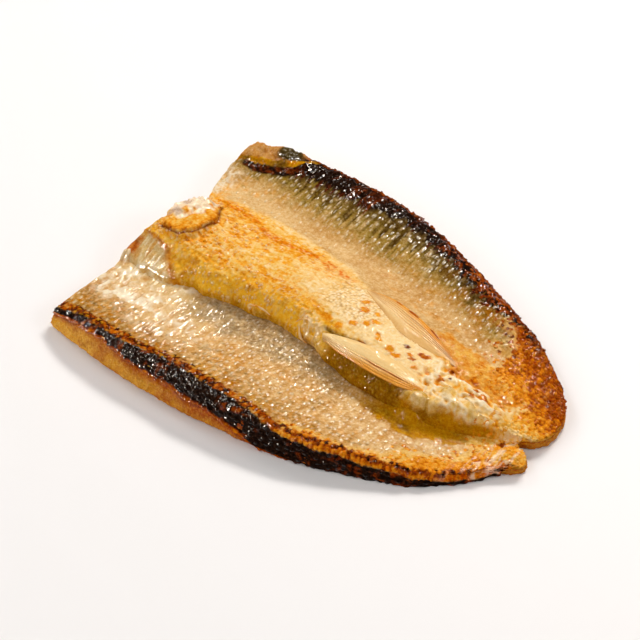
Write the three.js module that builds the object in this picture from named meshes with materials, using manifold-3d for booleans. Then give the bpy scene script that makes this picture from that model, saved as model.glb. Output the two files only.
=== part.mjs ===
// A pan-fried milkfish belly: a boned belly piece, opened flat and lying skin side up.
// Millimetres. X runs from the head cut to the tail, Y from the near flank to the far flank, Z up.
// The piece rests on its flat flesh side at Z = 0, with the origin under the middle of its box.

import * as THREE from 'three';
import { mergeVertices } from 'three/addons/utils/BufferGeometryUtils.js';
import Module from 'manifold-3d';

const wasm = await Module();
wasm.setup();

// Driving dimensions: the plan. Each rail runs from the head cut to the tail as [x, y] points.
// The belly's ridge stands between the foot rail and the border rail, with a flank on each side.
const NEAR_EDGE = [[-84.5, -63.5], [-62.5, -63], [-37.5, -62], [-12.5, -59.5], [12.5, -55], [32.5, -49.5],
  [47.5, -41.5], [64.5, -32], [75.5, -21.5], [85.5, -7.5]];
const RIDGE_FOOT = [[-87.5, -18.5], [-72.5, -20.5], [-52.5, -19.5], [-32.5, -15], [-12.5, -12], [3.5, -12],
  [18.5, -15.5], [34.5, -14.5], [49.5, -12.5], [62.5, -8], [74.5, 0.5], [83, 5.5]];
const RIDGE_BORDER = [[-82, 11], [-52.5, 13.5], [-32.5, 15.5], [-12.5, 18.5], [7.5, 20], [29.5, 20],
  [57.5, 17], [90, 19]];
const FAR_EDGE = [[-79.5, 60], [-62.5, 64], [-32.5, 66.5], [-7.5, 65], [16.5, 60], [41.5, 53], [62.5, 45.5],
  [79.5, 35.5]];
// The head cut as [y, x], and the tail as [t, x, y] with t counting the rails from 0 to 3.
const HEAD_CUT = [[-63.5, -84.5], [-52, -85], [-31, -85.5], [-18, -87.5], [-10, -84], [6, -83.5], [16, -81.5],
  [24, -86.5], [37, -90.5], [48, -91.5], [55, -88.5], [60, -79.5]];
const TAIL_END = [[0, 85.5, -7.5], [0.3, 89.8, -4.5], [0.6, 91.3, -1], [0.85, 88.5, 2.5], [1, 83, 5.5],
  [1.3, 87.5, 9], [1.7, 90.1, 15], [2.2, 88.8, 24], [2.6, 85, 30.5], [3, 79.5, 35.5]];

// Driving dimensions: heights over the plate along the piece, as [x, z].
const CREASE_HEIGHT = [[-87, 8], [-74, 11.5], [-57, 13.2], [-32, 14], [-7, 14], [18, 13], [38, 10.8], [58, 7.6],
  [73, 5], [88, 4]];
const VALLEY_HEIGHT = [[-87, 8.5], [-62, 8.3], [-32, 7.6], [-2, 7.4], [28, 6.6], [53, 5.4], [73, 4], [88, 3.2]];
const RIDGE_HEIGHT = [[-87, 17.5], [-72, 19.6], [-52, 19.4], [-22, 18.8], [8, 18], [33, 15.8], [50, 13],
  [68, 9.8], [83, 6.5], [92, 4.5]];
const BORDER_HEIGHT = [[-87, 14.5], [-72, 16.8], [-52, 16.8], [-22, 16.2], [8, 15], [33, 12.6], [50, 10.8],
  [68, 8.8], [83, 6.2], [92, 4.5]];
const HOLLOW_HEIGHT = [[-90, 11], [-62, 12], [-32, 12], [-2, 11.2], [28, 10], [53, 8.6], [73, 6.8], [92, 4.5]];
const CREST_HEIGHT = [[-90, 13], [-72, 15.5], [-42, 16], [-12, 15.2], [18, 13.6], [43, 11], [63, 8.4], [78, 6],
  [92, 4]];
const FAR_RIM_HEIGHT = [[-90, 10], [-72, 12], [-42, 12.5], [-12, 12], [18, 10.8], [43, 8.6], [63, 6.2],
  [78, 4.2], [92, 3]];
// How far the cut flesh under the near margin stands out past the skin's edge, as [x, distance].
const NEAR_FLARE = [[-85, 1.5], [-55, 3], [-20, 2.8], [10, 2], [30, 1], [60, 1.5], [86, 0.5]];

// The skin's grid: stations along the piece, and rows across it that crowd where the skin turns.
const STATIONS = 76;
const NEAR_ROWS = [0, 0.05, 0.11, 0.18, 0.26, 0.35, 0.45, 0.55, 0.65, 0.75, 0.84, 0.92];
const RIDGE_ROWS = [1, 1.05, 1.11, 1.18, 1.26, 1.36, 1.47, 1.58, 1.69, 1.8, 1.9];
const FAR_ROWS = [2, 2.08, 2.16, 2.24, 2.32, 2.41, 2.5, 2.58, 2.66, 2.73, 2.8, 2.87, 2.94, 3];
const ROWS = [...NEAR_ROWS, ...RIDGE_ROWS, ...FAR_ROWS];
// The wall swells past the skin's edge, then turns in under it. END_REACH keeps the shaped ends short.
const EDGE_BULGE = 0.7;
const UNDERCUT = 1.1;
const END_REACH = 4;

const COLOURS = { skin: 0xc99650 };

// A smooth curve through [station, value, ...] knots, read at one station.
function along(knots, station, column = 1) {
  const last = knots.length - 1;
  let i = 0;
  while (i < last - 1 && station > knots[i + 1][0]) i += 1;
  const slope = (k) => {
    const before = knots[Math.max(k - 1, 0)];
    const after = knots[Math.min(k + 1, last)];
    return (after[column] - before[column]) / (after[0] - before[0]);
  };
  const span = knots[i + 1][0] - knots[i][0];
  const t = THREE.MathUtils.clamp((station - knots[i][0]) / span, 0, 1);
  const ease = t * t * (3 - 2 * t);
  const leave = t * (1 - t) * (1 - t) * span * slope(i);
  const arrive = t * t * (t - 1) * span * slope(i + 1);
  return THREE.MathUtils.lerp(knots[i][column], knots[i + 1][column], ease) + leave + arrive;
}

// Smooth ramps: rise goes from 0 to 1 between its two values, and fall from 1 to 0.
const rise = (low, high, value) => THREE.MathUtils.smoothstep(value, low, high);
const fall = (low, high, value) => 1 - rise(low, high, value);

// Smooth bumps between -1 and 1 with one lump to each unit square.
function lumpy(x, y) {
  const corner = (i, j) => {
    const wave = Math.sin(i * 127.1 + j * 311.7) * 43758.5453;
    return 2 * (wave - Math.floor(wave)) - 1;
  };
  const i = Math.floor(x);
  const j = Math.floor(y);
  const u = rise(0, 1, x - i);
  const v = rise(0, 1, y - j);
  const lower = THREE.MathUtils.lerp(corner(i, j), corner(i + 1, j), u);
  const upper = THREE.MathUtils.lerp(corner(i, j + 1), corner(i + 1, j + 1), u);
  return THREE.MathUtils.lerp(lower, upper, v);
}

// The four rails at s, from the head cut (0) to the tail (1).
const RAILS = [NEAR_EDGE, RIDGE_FOOT, RIDGE_BORDER, FAR_EDGE];
const SCALLOP = [0, 1.1, 0, 0];
const SCALLOP_LENGTH = 7;

function railPoint(rail, s) {
  const knots = RAILS[rail];
  const x = THREE.MathUtils.lerp(knots[0][0], knots[knots.length - 1][0], s);
  const ripple = SCALLOP[rail] * lumpy(x / SCALLOP_LENGTH, rail) * rise(0, 0.04, s) * fall(0.8, 1, s);
  return new THREE.Vector2(x, along(knots, x) + ripple);
}

// The plan point at s along the piece and t across it, with the rails at t = 0, 1, 2 and 3.
function planPoint(s, t) {
  const rail = Math.min(Math.floor(t), RAILS.length - 2);
  const between = (at) => railPoint(rail, at).lerp(railPoint(rail + 1, at), t - rail);
  const head = between(0);
  const headShift = new THREE.Vector2(along(HEAD_CUT, head.y), head.y).sub(head);
  const tail = new THREE.Vector2(along(TAIL_END, t), along(TAIL_END, t, 2));
  const tailShift = tail.sub(between(1));
  return between(s)
    .addScaledVector(headShift, (1 - s) ** END_REACH)
    .addScaledVector(tailShift, s ** END_REACH);
}

// The skin's height: a hollow near flank that rises to a crisp crease, a steep-sided ridge that
// runs out smoothly on its far side, and a far flank that dips and rises to a charred crest.
function flankHeight(x, t) {
  const valley = along(VALLEY_HEIGHT, x);
  const crease = along(CREASE_HEIGHT, x);
  const climb = crease - valley;
  return along([[0, crease - 0.6], [0.1, crease], [0.4, valley + 0.55 * climb], [0.78, valley + 0.05 * climb],
    [1, valley]], t);
}

function ridgeHeight(x, t) {
  const valley = along(VALLEY_HEIGHT, x);
  const top = along(RIDGE_HEIGHT, x);
  const border = along(BORDER_HEIGHT, x);
  const side = top - valley;
  return along([[0, valley], [0.05, valley + 0.25 * side], [0.2, top - 0.16 * side], [0.5, top],
    [0.8, border + 0.55 * (top - border)], [1, border]], t);
}

function farHeight(x, t) {
  const hollow = along(HOLLOW_HEIGHT, x);
  const crest = along(CREST_HEIGHT, x);
  return along([[0, along(BORDER_HEIGHT, x)], [0.3, hollow], [0.6, hollow + 0.6 * (crest - hollow)],
    [0.84, crest], [1, along(FAR_RIM_HEIGHT, x)]], t);
}

// Fried relief: coarse crags on the charred margins and the far lobe, gentler lumps on the ridge.
function crags(x, y, t) {
  const charred = rise(2.6, 2.8, t) + fall(0.05, 0.2, t);
  const lobe = rise(38, 60, x) * rise(1.9, 2.2, t);
  const ridge = rise(1.05, 1.25, t) * fall(1.9, 2.2, t);
  const coarse = lumpy(x / 4.6, y / 4.6) + 0.5 * lumpy(x / 2.6 + 7, y / 2.6);
  const gentle = lumpy(x / 8, y / 6.5);
  return 0.45 * Math.max(charred, lobe) * coarse + 0.4 * ridge * gentle;
}

// Folds and lumps that stand on the skin: middle, half sizes, turn about Z in degrees, how high they
// rise, and what share of the half size their edge takes to fall away.
const MOUNDS = {
  chestFlap: { at: [-72.5, -2.5], half: [9, 11.5], turn: -14, high: 1.8, edge: 0.2 },
  whiteFatAtHead: { at: [-80, 6], half: [7, 12], turn: -8, high: 2.2, edge: 0.5 },
  crispKnobAtFoot: { at: [-86, -24], half: [4, 4.5], turn: 0, high: 3.6, edge: 1 },
  darkKnobAtCorner: { at: [-77, 56.5], half: [5.5, 5], turn: 20, high: 2.2, edge: 0.8 },
  foldAtCorner: { at: [-85.5, 38], half: [5, 9], turn: 10, high: 1.5, edge: 0.5 },
  tornFleshAtCorner: { at: [-88, 51], half: [5, 6], turn: 20, high: 1.6, edge: 0.6 },
  lumpUnderFin: { at: [47.5, -10.8], half: [7.5, 5.5], turn: 12, high: 3.4, edge: 0.8 },
  lumpByVent: { at: [59.5, -2.5], half: [9.5, 6.5], turn: 20, high: 2.4, edge: 0.8 },
  frillBehindFins: { at: [63, 6.5], half: [16, 4.5], turn: 2, high: 1.6, edge: 0.6 },
  raisedNearTip: { at: [86, -1.5], half: [9, 7], turn: 40, high: 2.6, edge: 0.9 },
};

function mounds(x, y) {
  return Object.values(MOUNDS).reduce((total, { at, half, turn, high, edge }) => {
    const offset = new THREE.Vector2(x - at[0], y - at[1])
      .rotateAround(new THREE.Vector2(), THREE.MathUtils.degToRad(-turn));
    const radius = Math.hypot(offset.x / half[0], offset.y / half[1]);
    return total + high * fall(1 - edge, 1, radius);
  }, 0);
}

function skinPoint(s, t) {
  const plan = planPoint(s, t);
  const heights = [flankHeight, ridgeHeight, farHeight];
  const rail = Math.min(Math.floor(t), heights.length - 1);
  const z = heights[rail](plan.x, t - rail) + crags(plan.x, plan.y, t) + mounds(plan.x, plan.y);
  return new THREE.Vector3(plan.x, plan.y, z);
}

// Joins rows of points that all have one length into quads split in two.
function bridge(triangles, first, second, closed) {
  const count = closed ? first.length : first.length - 1;
  for (let k = 0; k < count; k += 1) {
    const n = (k + 1) % first.length;
    triangles.push([first[k], second[k], first[n]], [first[n], second[k], second[n]]);
  }
}

function meshOf(points, triangles) {
  const geometry = new THREE.BufferGeometry();
  geometry.setAttribute('position', new THREE.Float32BufferAttribute(points.flatMap((p) => p.toArray()), 3));
  geometry.setIndex(triangles.flat());
  return geometry;
}

// The body: the skin's grid on top, a wall of cut flesh all round and a flat underside.
function bodyGeometry() {
  const points = [];
  const triangles = [];
  const grid = [];
  for (let i = 0; i <= STATIONS; i += 1) {
    grid.push(ROWS.map((t) => points.push(skinPoint(i / STATIONS, t)) - 1));
  }
  for (let i = 0; i < STATIONS; i += 1) bridge(triangles, grid[i], grid[i + 1], false);

  const last = ROWS.length - 1;
  const near = grid.map((row) => row[0]);
  const far = grid.map((row) => row[last]).reverse();
  const rim = [...near.slice(0, -1), ...grid[STATIONS].slice(0, -1), ...far.slice(0, -1),
    ...grid[0].slice(1).reverse()];

  const nearFlare = (k) => (k < STATIONS ? along(NEAR_FLARE, points[rim[k]].x) : 0);
  const outward = rim.map((_, k) => {
    const before = points[rim[(k + rim.length - 1) % rim.length]];
    const after = points[rim[(k + 1) % rim.length]];
    return new THREE.Vector3(after.y - before.y, before.x - after.x, 0).normalize();
  });
  // Each wall row has its share of the height and of the flare, and a small push of its own.
  const wallRows = [[0.72, 0.15, EDGE_BULGE], [0.4, 0.55, EDGE_BULGE], [0.12, 1, 0], [0, 1, -UNDERCUT]];
  let upper = rim;
  wallRows.forEach(([height, flareShare, push]) => {
    const row = rim.map((index, k) => {
      const wall = points[index].clone();
      wall.z *= height;
      wall.addScaledVector(outward[k], flareShare * nearFlare(k) + push);
      return points.push(wall) - 1;
    });
    bridge(triangles, upper, row, true);
    upper = row;
  });
  const contour = upper.map((index) => new THREE.Vector2(points[index].x, points[index].y));
  const floor = THREE.ShapeUtils.triangulateShape(contour, []);
  floor.forEach(([a, b, c]) => triangles.push([upper[a], upper[c], upper[b]]));
  return meshOf(points, triangles);
}

// A pelvic fin: a thin blade of rays between its near and its far edge, each as [x, y] points,
// that lies back toward the tail and sinks from its root to its tip.
const FIN_STEPS = 12;
const FIN_RAYS = 6;
const FIN_THICKNESS = 1.4;
const NEAR_FIN = {
  nearEdge: [[6, -12.5], [13, -14.3], [25, -13.5], [35.5, -11.8], [43.5, -8]],
  farEdge: [[6, -9.5], [14, -9.8], [26, -8.8], [36.5, -5.4], [46.5, -3.8]],
  height: [[0, 17.6], [0.4, 16.8], [1, 13.8]],
};
const FAR_FIN = {
  nearEdge: [[1, 15.5], [8, 12.3], [16, 10.3], [26, 10.2], [37, 11.4], [44, 14.8]],
  farEdge: [[1, 19.5], [4, 21.8], [13, 22.6], [24, 22], [35, 19.4], [44.5, 16.8]],
  height: [[0, 18.2], [0.4, 17.8], [1, 13]],
};

function finGeometry(fin) {
  const points = [];
  const triangles = [];
  const side = (knots, u) => {
    const x = THREE.MathUtils.lerp(knots[0][0], knots[knots.length - 1][0], u);
    return new THREE.Vector3(x, along(knots, x), along(fin.height, u));
  };
  const ring = (u) => {
    const near = side(fin.nearEdge, u);
    const far = side(fin.farEdge, u);
    const top = [];
    const bottom = [];
    for (let k = 0; k <= 2 * FIN_RAYS; k += 1) {
      const point = near.clone().lerp(far, k / (2 * FIN_RAYS));
      const groove = k % 2 === 0 ? 0.2 : -0.1;
      top.push(point.clone().setZ(point.z + 0.5 * FIN_THICKNESS + groove));
      bottom.push(point.clone().setZ(point.z - 0.5 * FIN_THICKNESS));
    }
    return [...top, ...bottom.reverse()].map((point) => points.push(point) - 1);
  };
  const rings = [];
  for (let i = 0; i <= FIN_STEPS; i += 1) rings.push(ring(i / FIN_STEPS));
  for (let i = 0; i < FIN_STEPS; i += 1) bridge(triangles, rings[i], rings[i + 1], true);
  const across = 2 * FIN_RAYS + 1;
  [rings[0], rings[FIN_STEPS]].forEach((end, atTip) => {
    const top = end.slice(0, across);
    const bottom = end.slice(across).reverse();
    bridge(triangles, atTip ? top : bottom, atTip ? bottom : top, false);
  });
  return meshOf(points, triangles);
}

function solidOf(geometry) {
  geometry.deleteAttribute('normal');
  geometry.deleteAttribute('uv');
  const merged = mergeVertices(geometry, 1e-4);
  const vertProperties = new Float32Array(merged.getAttribute('position').array);
  const triVerts = new Uint32Array(merged.getIndex().array);
  return new wasm.Manifold(new wasm.Mesh({ numProp: 3, vertProperties, triVerts }));
}

// The fins grow out of the body, so the whole belly is one solid.
function bellyGeometry() {
  const solids = [bodyGeometry(), finGeometry(NEAR_FIN), finGeometry(FAR_FIN)].map(solidOf);
  const joined = solids.reduce((whole, fin) => whole.add(fin)).getMesh();
  const geometry = new THREE.BufferGeometry();
  geometry.setAttribute('position', new THREE.BufferAttribute(new Float32Array(joined.vertProperties), 3));
  geometry.setIndex(new THREE.BufferAttribute(new Uint32Array(joined.triVerts), 1));
  geometry.computeBoundingBox();
  const middle = geometry.boundingBox.getCenter(new THREE.Vector3());
  geometry.translate(-middle.x, -middle.y, -geometry.boundingBox.min.z);
  geometry.computeVertexNormals();
  return geometry;
}

const skin = new THREE.MeshStandardMaterial({ color: COLOURS.skin, roughness: 0.45, metalness: 0 });
const belly = new THREE.Mesh(bellyGeometry(), skin);
belly.name = 'milkfish_belly';

const part = new THREE.Group();
part.name = 'pan_fried_milkfish_belly';
part.add(belly);

export default part;
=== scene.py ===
# %% [markdown]
# # A pan-fried milkfish belly
#
# The real object is a boned belly piece of a milkfish. It was opened flat, fried in oil and laid skin
# side up. The skin is one wet, oily sheet over cut flesh: silver-beige on the flanks, golden and crisp
# on the raised middle ridge, and burnt black along both margins, where the thick back skin was. Two
# pelvic fins lie back along the ridge.
#
# The solid model gives the size and the place. Everything here is measured in its frame: X runs from
# the head cut to the tail, Y from the near flank to the far flank, and Z points up.

# %% Load the solid model
import math
import bpy
import numpy as np
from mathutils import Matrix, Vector


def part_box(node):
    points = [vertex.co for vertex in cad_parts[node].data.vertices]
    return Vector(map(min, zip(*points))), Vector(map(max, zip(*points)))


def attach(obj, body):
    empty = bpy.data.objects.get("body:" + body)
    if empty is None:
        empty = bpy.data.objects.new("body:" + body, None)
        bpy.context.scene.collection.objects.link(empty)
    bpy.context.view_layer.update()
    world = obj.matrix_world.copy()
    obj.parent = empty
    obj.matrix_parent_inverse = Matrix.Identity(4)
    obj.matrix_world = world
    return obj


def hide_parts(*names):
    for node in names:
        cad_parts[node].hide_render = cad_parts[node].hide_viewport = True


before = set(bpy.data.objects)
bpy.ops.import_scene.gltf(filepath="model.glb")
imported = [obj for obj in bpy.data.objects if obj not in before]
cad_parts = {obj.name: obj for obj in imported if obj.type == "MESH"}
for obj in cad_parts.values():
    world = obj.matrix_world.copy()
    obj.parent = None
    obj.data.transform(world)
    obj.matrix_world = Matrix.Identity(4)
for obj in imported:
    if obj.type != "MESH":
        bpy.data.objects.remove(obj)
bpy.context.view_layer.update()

BODY = "root"
NODE = "milkfish_belly"
MM = 0.001

# %% [markdown]
# ## The form, from four rails
#
# A fish belly has no flat faces and no axis of symmetry, so it can't be turned or extruded. Four rails
# run from head to tail instead: the near edge, the foot of the ridge, the ridge's far border and the
# far edge. Two numbers then place any point of the skin: s runs along the rails from 0 to 1, and t
# counts across them, with a rail at each whole number. The heights are smooth curves along X. These
# are the driving values of the solid model, so both models have one form.

# %% Rails and heights, in millimetres
NEAR_EDGE = [[-84.5, -63.5], [-62.5, -63], [-37.5, -62], [-12.5, -59.5], [12.5, -55], [32.5, -49.5],
             [47.5, -41.5], [64.5, -32], [75.5, -21.5], [85.5, -7.5]]
RIDGE_FOOT = [[-87.5, -18.5], [-72.5, -20.5], [-52.5, -19.5], [-32.5, -15], [-12.5, -12], [3.5, -12],
              [18.5, -15.5], [34.5, -14.5], [49.5, -12.5], [62.5, -8], [74.5, 0.5], [83, 5.5]]
RIDGE_BORDER = [[-82, 11], [-52.5, 13.5], [-32.5, 15.5], [-12.5, 18.5], [7.5, 20], [29.5, 20],
                [57.5, 17], [90, 19]]
FAR_EDGE = [[-79.5, 60], [-62.5, 64], [-32.5, 66.5], [-7.5, 65], [16.5, 60], [41.5, 53], [62.5, 45.5],
            [79.5, 35.5]]
HEAD_CUT = [[-63.5, -84.5], [-52, -85], [-31, -85.5], [-18, -87.5], [-10, -84], [6, -83.5], [16, -81.5],
            [24, -86.5], [37, -90.5], [48, -91.5], [55, -88.5], [60, -79.5]]
TAIL_END = [[0, 85.5, -7.5], [0.3, 89.8, -4.5], [0.6, 91.3, -1], [0.85, 88.5, 2.5], [1, 83, 5.5],
            [1.3, 87.5, 9], [1.7, 90.1, 15], [2.2, 88.8, 24], [2.6, 85, 30.5], [3, 79.5, 35.5]]
RAILS = [NEAR_EDGE, RIDGE_FOOT, RIDGE_BORDER, FAR_EDGE]

CREASE_HEIGHT = [[-87, 8], [-74, 11.5], [-57, 13.2], [-32, 14], [-7, 14], [18, 13], [38, 10.8],
                 [58, 7.6], [73, 5], [88, 4]]
VALLEY_HEIGHT = [[-87, 8.5], [-62, 8.3], [-32, 7.6], [-2, 7.4], [28, 6.6], [53, 5.4], [73, 4], [88, 3.2]]
RIDGE_HEIGHT = [[-87, 17.5], [-72, 19.6], [-52, 19.4], [-22, 18.8], [8, 18], [33, 15.8], [50, 13],
                [68, 9.8], [83, 6.5], [92, 4.5]]
BORDER_HEIGHT = [[-87, 14.5], [-72, 16.8], [-52, 16.8], [-22, 16.2], [8, 15], [33, 12.6], [50, 10.8],
                 [68, 8.8], [83, 6.2], [92, 4.5]]
HOLLOW_HEIGHT = [[-90, 11], [-62, 12], [-32, 12], [-2, 11.2], [28, 10], [53, 8.6], [73, 6.8], [92, 4.5]]
CREST_HEIGHT = [[-90, 13], [-72, 15.5], [-42, 16], [-12, 15.2], [18, 13.6], [43, 11], [63, 8.4],
                [78, 6], [92, 4]]
FAR_RIM_HEIGHT = [[-90, 10], [-72, 12], [-42, 12.5], [-12, 12], [18, 10.8], [43, 8.6], [63, 6.2],
                  [78, 4.2], [92, 3]]
NEAR_FLARE = [[-85, 1.5], [-55, 3], [-20, 2.8], [10, 2], [30, 1], [60, 1.5], [86, 0.5]]
END_REACH = 4
EDGE_BULGE = 0.7
EDGE_STEP = 0.002
SCALLOP, SCALLOP_LENGTH = 1.1, 7
CRAG_HEIGHT, RIDGE_WAVE = 0.45, 0.4


def along(knots, station, column=1):
    """A smooth curve through [station, value] knots. A value may itself be an array like station."""
    station = np.asarray(station, float)
    places = [knot[0] for knot in knots]
    values = [knot[column] for knot in knots]
    last = len(knots) - 1
    result = np.zeros(station.shape)
    for i in range(last):
        low = -np.inf if i == 0 else places[i]
        high = np.inf if i == last - 1 else places[i + 1]
        span = places[i + 1] - places[i]
        before, after = max(i - 1, 0), min(i + 2, last)
        leave = (values[i + 1] - values[before]) / (places[i + 1] - places[before]) * span
        arrive = (values[after] - values[i]) / (places[after] - places[i]) * span
        u = np.clip((station - places[i]) / span, 0, 1)
        ease = u * u * (3 - 2 * u)
        piece = values[i] + (values[i + 1] - values[i]) * ease
        piece = piece + u * (1 - u) ** 2 * leave + u * u * (u - 1) * arrive
        result = np.where((station > low) & (station <= high), piece, result)
    return result


def rise(low, high, value):
    """0 up to low, 1 from high on, and smooth between them."""
    u = np.clip((value - low) / (high - low), 0, 1)
    return u * u * (3 - 2 * u)


def fall(low, high, value):
    """1 up to low, 0 from high on, and smooth between them."""
    return 1 - rise(low, high, value)


def window(start, full, fade, end, value):
    """1 between full and fade, 0 before start and after end."""
    return rise(start, full, value) * fall(fade, end, value)


def chance(i, j, salt=0.0):
    """A fixed random number from 0 to 1 for each pair of whole numbers."""
    wave = np.sin(i * 127.1 + j * 311.7 + salt) * 43758.5453
    return wave - np.floor(wave)


def lumpy(x, y, salt=0.0):
    """Smooth bumps from -1 to 1, one lump to each unit square."""
    i, j = np.floor(x), np.floor(y)
    u, v = rise(0, 1, x - i), rise(0, 1, y - j)
    lower = chance(i, j, salt) * (1 - u) + chance(i + 1, j, salt) * u
    upper = chance(i, j + 1, salt) * (1 - u) + chance(i + 1, j + 1, salt) * u
    return 2 * (lower * (1 - v) + upper * v) - 1


def cloudy(x, y, octaves=4, salt=0.0):
    """Lumps on lumps, each set half the size and height of the one before."""
    return sum(lumpy(x * 2 ** k + 17 * k, y * 2 ** k, salt) / 2 ** k for k in range(octaves)) / 1.9


print("rails:", len(RAILS), "from x =", NEAR_EDGE[0][0], "to", NEAR_EDGE[-1][0])

# %% [markdown]
# Each rail gives its point at s. Between two rails the points are mixed, and near the two ends they
# are pulled to the true cut lines, which are far from straight.


# %% Plan and height of the skin
def rail_point(rail, s):
    """The plan point at s along one rail. The ridge's foot runs in small scallops."""
    knots = RAILS[rail]
    x = knots[0][0] + (knots[-1][0] - knots[0][0]) * s
    y = along(knots, x)
    if knots is RIDGE_FOOT:
        y = y + SCALLOP * lumpy(x / SCALLOP_LENGTH, np.full_like(x, rail)) * window(0, 0.04, 0.8, 1, s)
    return np.stack([x, y], -1)


def plan_point(s, t):
    """The plan point at s along the piece and t across it, both arrays of one shape."""
    t = np.clip(t, 0, 3)
    rail = np.minimum(np.floor(t), 2)
    share = (t - rail)[..., None]

    def between(at):
        points = np.stack([rail_point(k, at) for k in range(4)])
        index = rail.astype(int)[None, ..., None]
        low = np.take_along_axis(points, np.repeat(index, 2, -1), 0)[0]
        high = np.take_along_axis(points, np.repeat(index + 1, 2, -1), 0)[0]
        return low * (1 - share) + high * share

    head, tail = between(np.zeros_like(s)), between(np.ones_like(s))
    cut = np.stack([along(HEAD_CUT, head[..., 1]), head[..., 1]], -1)
    end = np.stack([along(TAIL_END, t), along(TAIL_END, t, 2)], -1)
    reach = s[..., None]
    return between(s) + (cut - head) * (1 - reach) ** END_REACH + (end - tail) * reach ** END_REACH


def skin_height(x, t):
    """The height of the smooth skin: flank up to t = 1, ridge up to 2, far flank up to 3."""
    valley, crease = along(VALLEY_HEIGHT, x), along(CREASE_HEIGHT, x)
    top, border = along(RIDGE_HEIGHT, x), along(BORDER_HEIGHT, x)
    hollow, crest = along(HOLLOW_HEIGHT, x), along(CREST_HEIGHT, x)
    climb, side = crease - valley, top - valley
    flank = along([[0, crease - 0.6], [0.1, crease], [0.4, valley + 0.55 * climb],
                   [0.78, valley + 0.05 * climb], [1, valley]], t)
    ridge = along([[1, valley], [1.05, valley + 0.25 * side], [1.2, top - 0.16 * side], [1.5, top],
                   [1.8, border + 0.55 * (top - border)], [2, border]], t)
    far = along([[2, border], [2.3, hollow], [2.6, hollow + 0.6 * (crest - hollow)], [2.84, crest],
                 [3, along(FAR_RIM_HEIGHT, x)]], t)
    return np.where(t < 1, flank, np.where(t < 2, ridge, far))


# Folds and lumps on the skin: middle, half sizes, turn in degrees, height, and the share of the half
# size that the edge takes to fall away.
MOUNDS = {
    "chest flap": ([-72.5, -2.5], [9, 11.5], -14, 1.8, 0.2),
    "white fat": ([-80, 6], [7, 12], -8, 2.2, 0.5),
    "crisp knob": ([-86, -24], [4, 4.5], 0, 3.6, 1.0),
    "dark knob": ([-77, 56.5], [5.5, 5], 20, 2.2, 0.8),
    "corner fold": ([-85.5, 38], [5, 9], 10, 1.5, 0.5),
    "torn flesh": ([-88, 51], [5, 6], 20, 1.6, 0.6),
    "fin lump": ([47.5, -10.8], [7.5, 5.5], 12, 3.4, 0.8),
    "vent lump": ([59.5, -2.5], [9.5, 6.5], 20, 2.4, 0.8),
    "frill": ([63, 6.5], [16, 4.5], 2, 1.6, 0.6),
    "near tip": ([86, -1.5], [9, 7], 40, 2.6, 0.9),
}


def oval(x, y, at, half, turn=0.0):
    """How far out a point lies in an oval, with 1 on its edge."""
    c, s = math.cos(math.radians(turn)), math.sin(math.radians(turn))
    dx, dy = x - at[0], y - at[1]
    return np.hypot((dx * c + dy * s) / half[0], (dy * c - dx * s) / half[1])


def mounds(x, y):
    """The height of all the folds and lumps together."""
    total = np.zeros_like(x)
    for at, half, turn, high, edge in MOUNDS.values():
        total = total + high * fall(1 - edge, 1, oval(x, y, at, half, turn))
    return total


def crags(x, y, t):
    """Coarse unevenness of the burnt margins, the tail lobe and the ridge."""
    charred = rise(2.6, 2.8, t) + fall(0.05, 0.2, t)
    lobe = rise(38, 60, x) * rise(1.9, 2.2, t)
    ridge = rise(1.05, 1.25, t) * fall(1.9, 2.2, t)
    coarse = lumpy(x / 4.6, y / 4.6) + 0.5 * lumpy(x / 2.6 + 7, y / 2.6)
    return CRAG_HEIGHT * np.maximum(charred, lobe) * coarse + RIDGE_WAVE * ridge * lumpy(x / 8, y / 6.5)


def skin_point(s, t):
    """Points of the skin, in millimetres. Under t = 0 they go down the near wall, over 3 the far one."""
    inner = np.clip(t, 0, 3)
    plan = plan_point(s, inner)
    x, y = plan[..., 0], plan[..., 1]
    z = skin_height(x, inner) + crags(x, y, inner) + mounds(x, y)
    down_near, down_far = np.clip(-t, 0, 1), np.clip(t - 3, 0, 1)
    flare = along(NEAR_FLARE, x)
    swell = EDGE_BULGE * np.sin(np.pi * np.clip(down_near + down_far, 0, 1)) ** 0.5
    for down, edge, side in ((down_near, 0.0, -1), (down_far, 3.0, 1)):
        ahead = plan_point(np.clip(s + EDGE_STEP, 0, 1), np.full_like(s, edge))
        behind = plan_point(np.clip(s - EDGE_STEP, 0, 1), np.full_like(s, edge))
        run = ahead - behind
        run /= np.linalg.norm(run, axis=-1, keepdims=True)
        out = flare * rise(0.1, 0.9, down) * (side < 0) + swell * (down > 0)
        x = x - side * run[..., 1] * out * (down > 0)
        y = y + side * run[..., 0] * out * (down > 0)
    return np.stack([x, y, z * (1 - np.maximum(down_near, down_far))], -1)


PROBE_S, PROBE_T = 300, 90
probe = skin_point(np.linspace(0, 1, PROBE_S)[:, None] * np.ones((1, PROBE_T)),
                   np.linspace(-1, 4, PROBE_T) * np.ones((PROBE_S, 1))).reshape(-1, 3)
print("skin, mm:", np.round(np.ptp(probe, axis=0), 1))

# The solid model is centred on its own box, so one small step lines the two up.
box_low, box_high = (np.array(corner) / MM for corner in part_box(NODE))
shift = (box_low + box_high) / 2 - (probe.min(0) + probe.max(0)) / 2
shift[2] = box_low[2]
print("shift to the solid model, mm:", np.round(shift, 2))

# %% [markdown]
# ## Camera and light
#
# The photograph looks down at 45 degrees from the near side, with a long lens, so the piece hardly
# narrows with distance. Oily food lives on its highlights: a key light behind the piece skims over it
# and lights every wet bump toward the camera, and a broad fill from the front keeps the shade soft.
# The small glint lamps light nothing. They only mirror in the oil, as warm sharp points.

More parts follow.
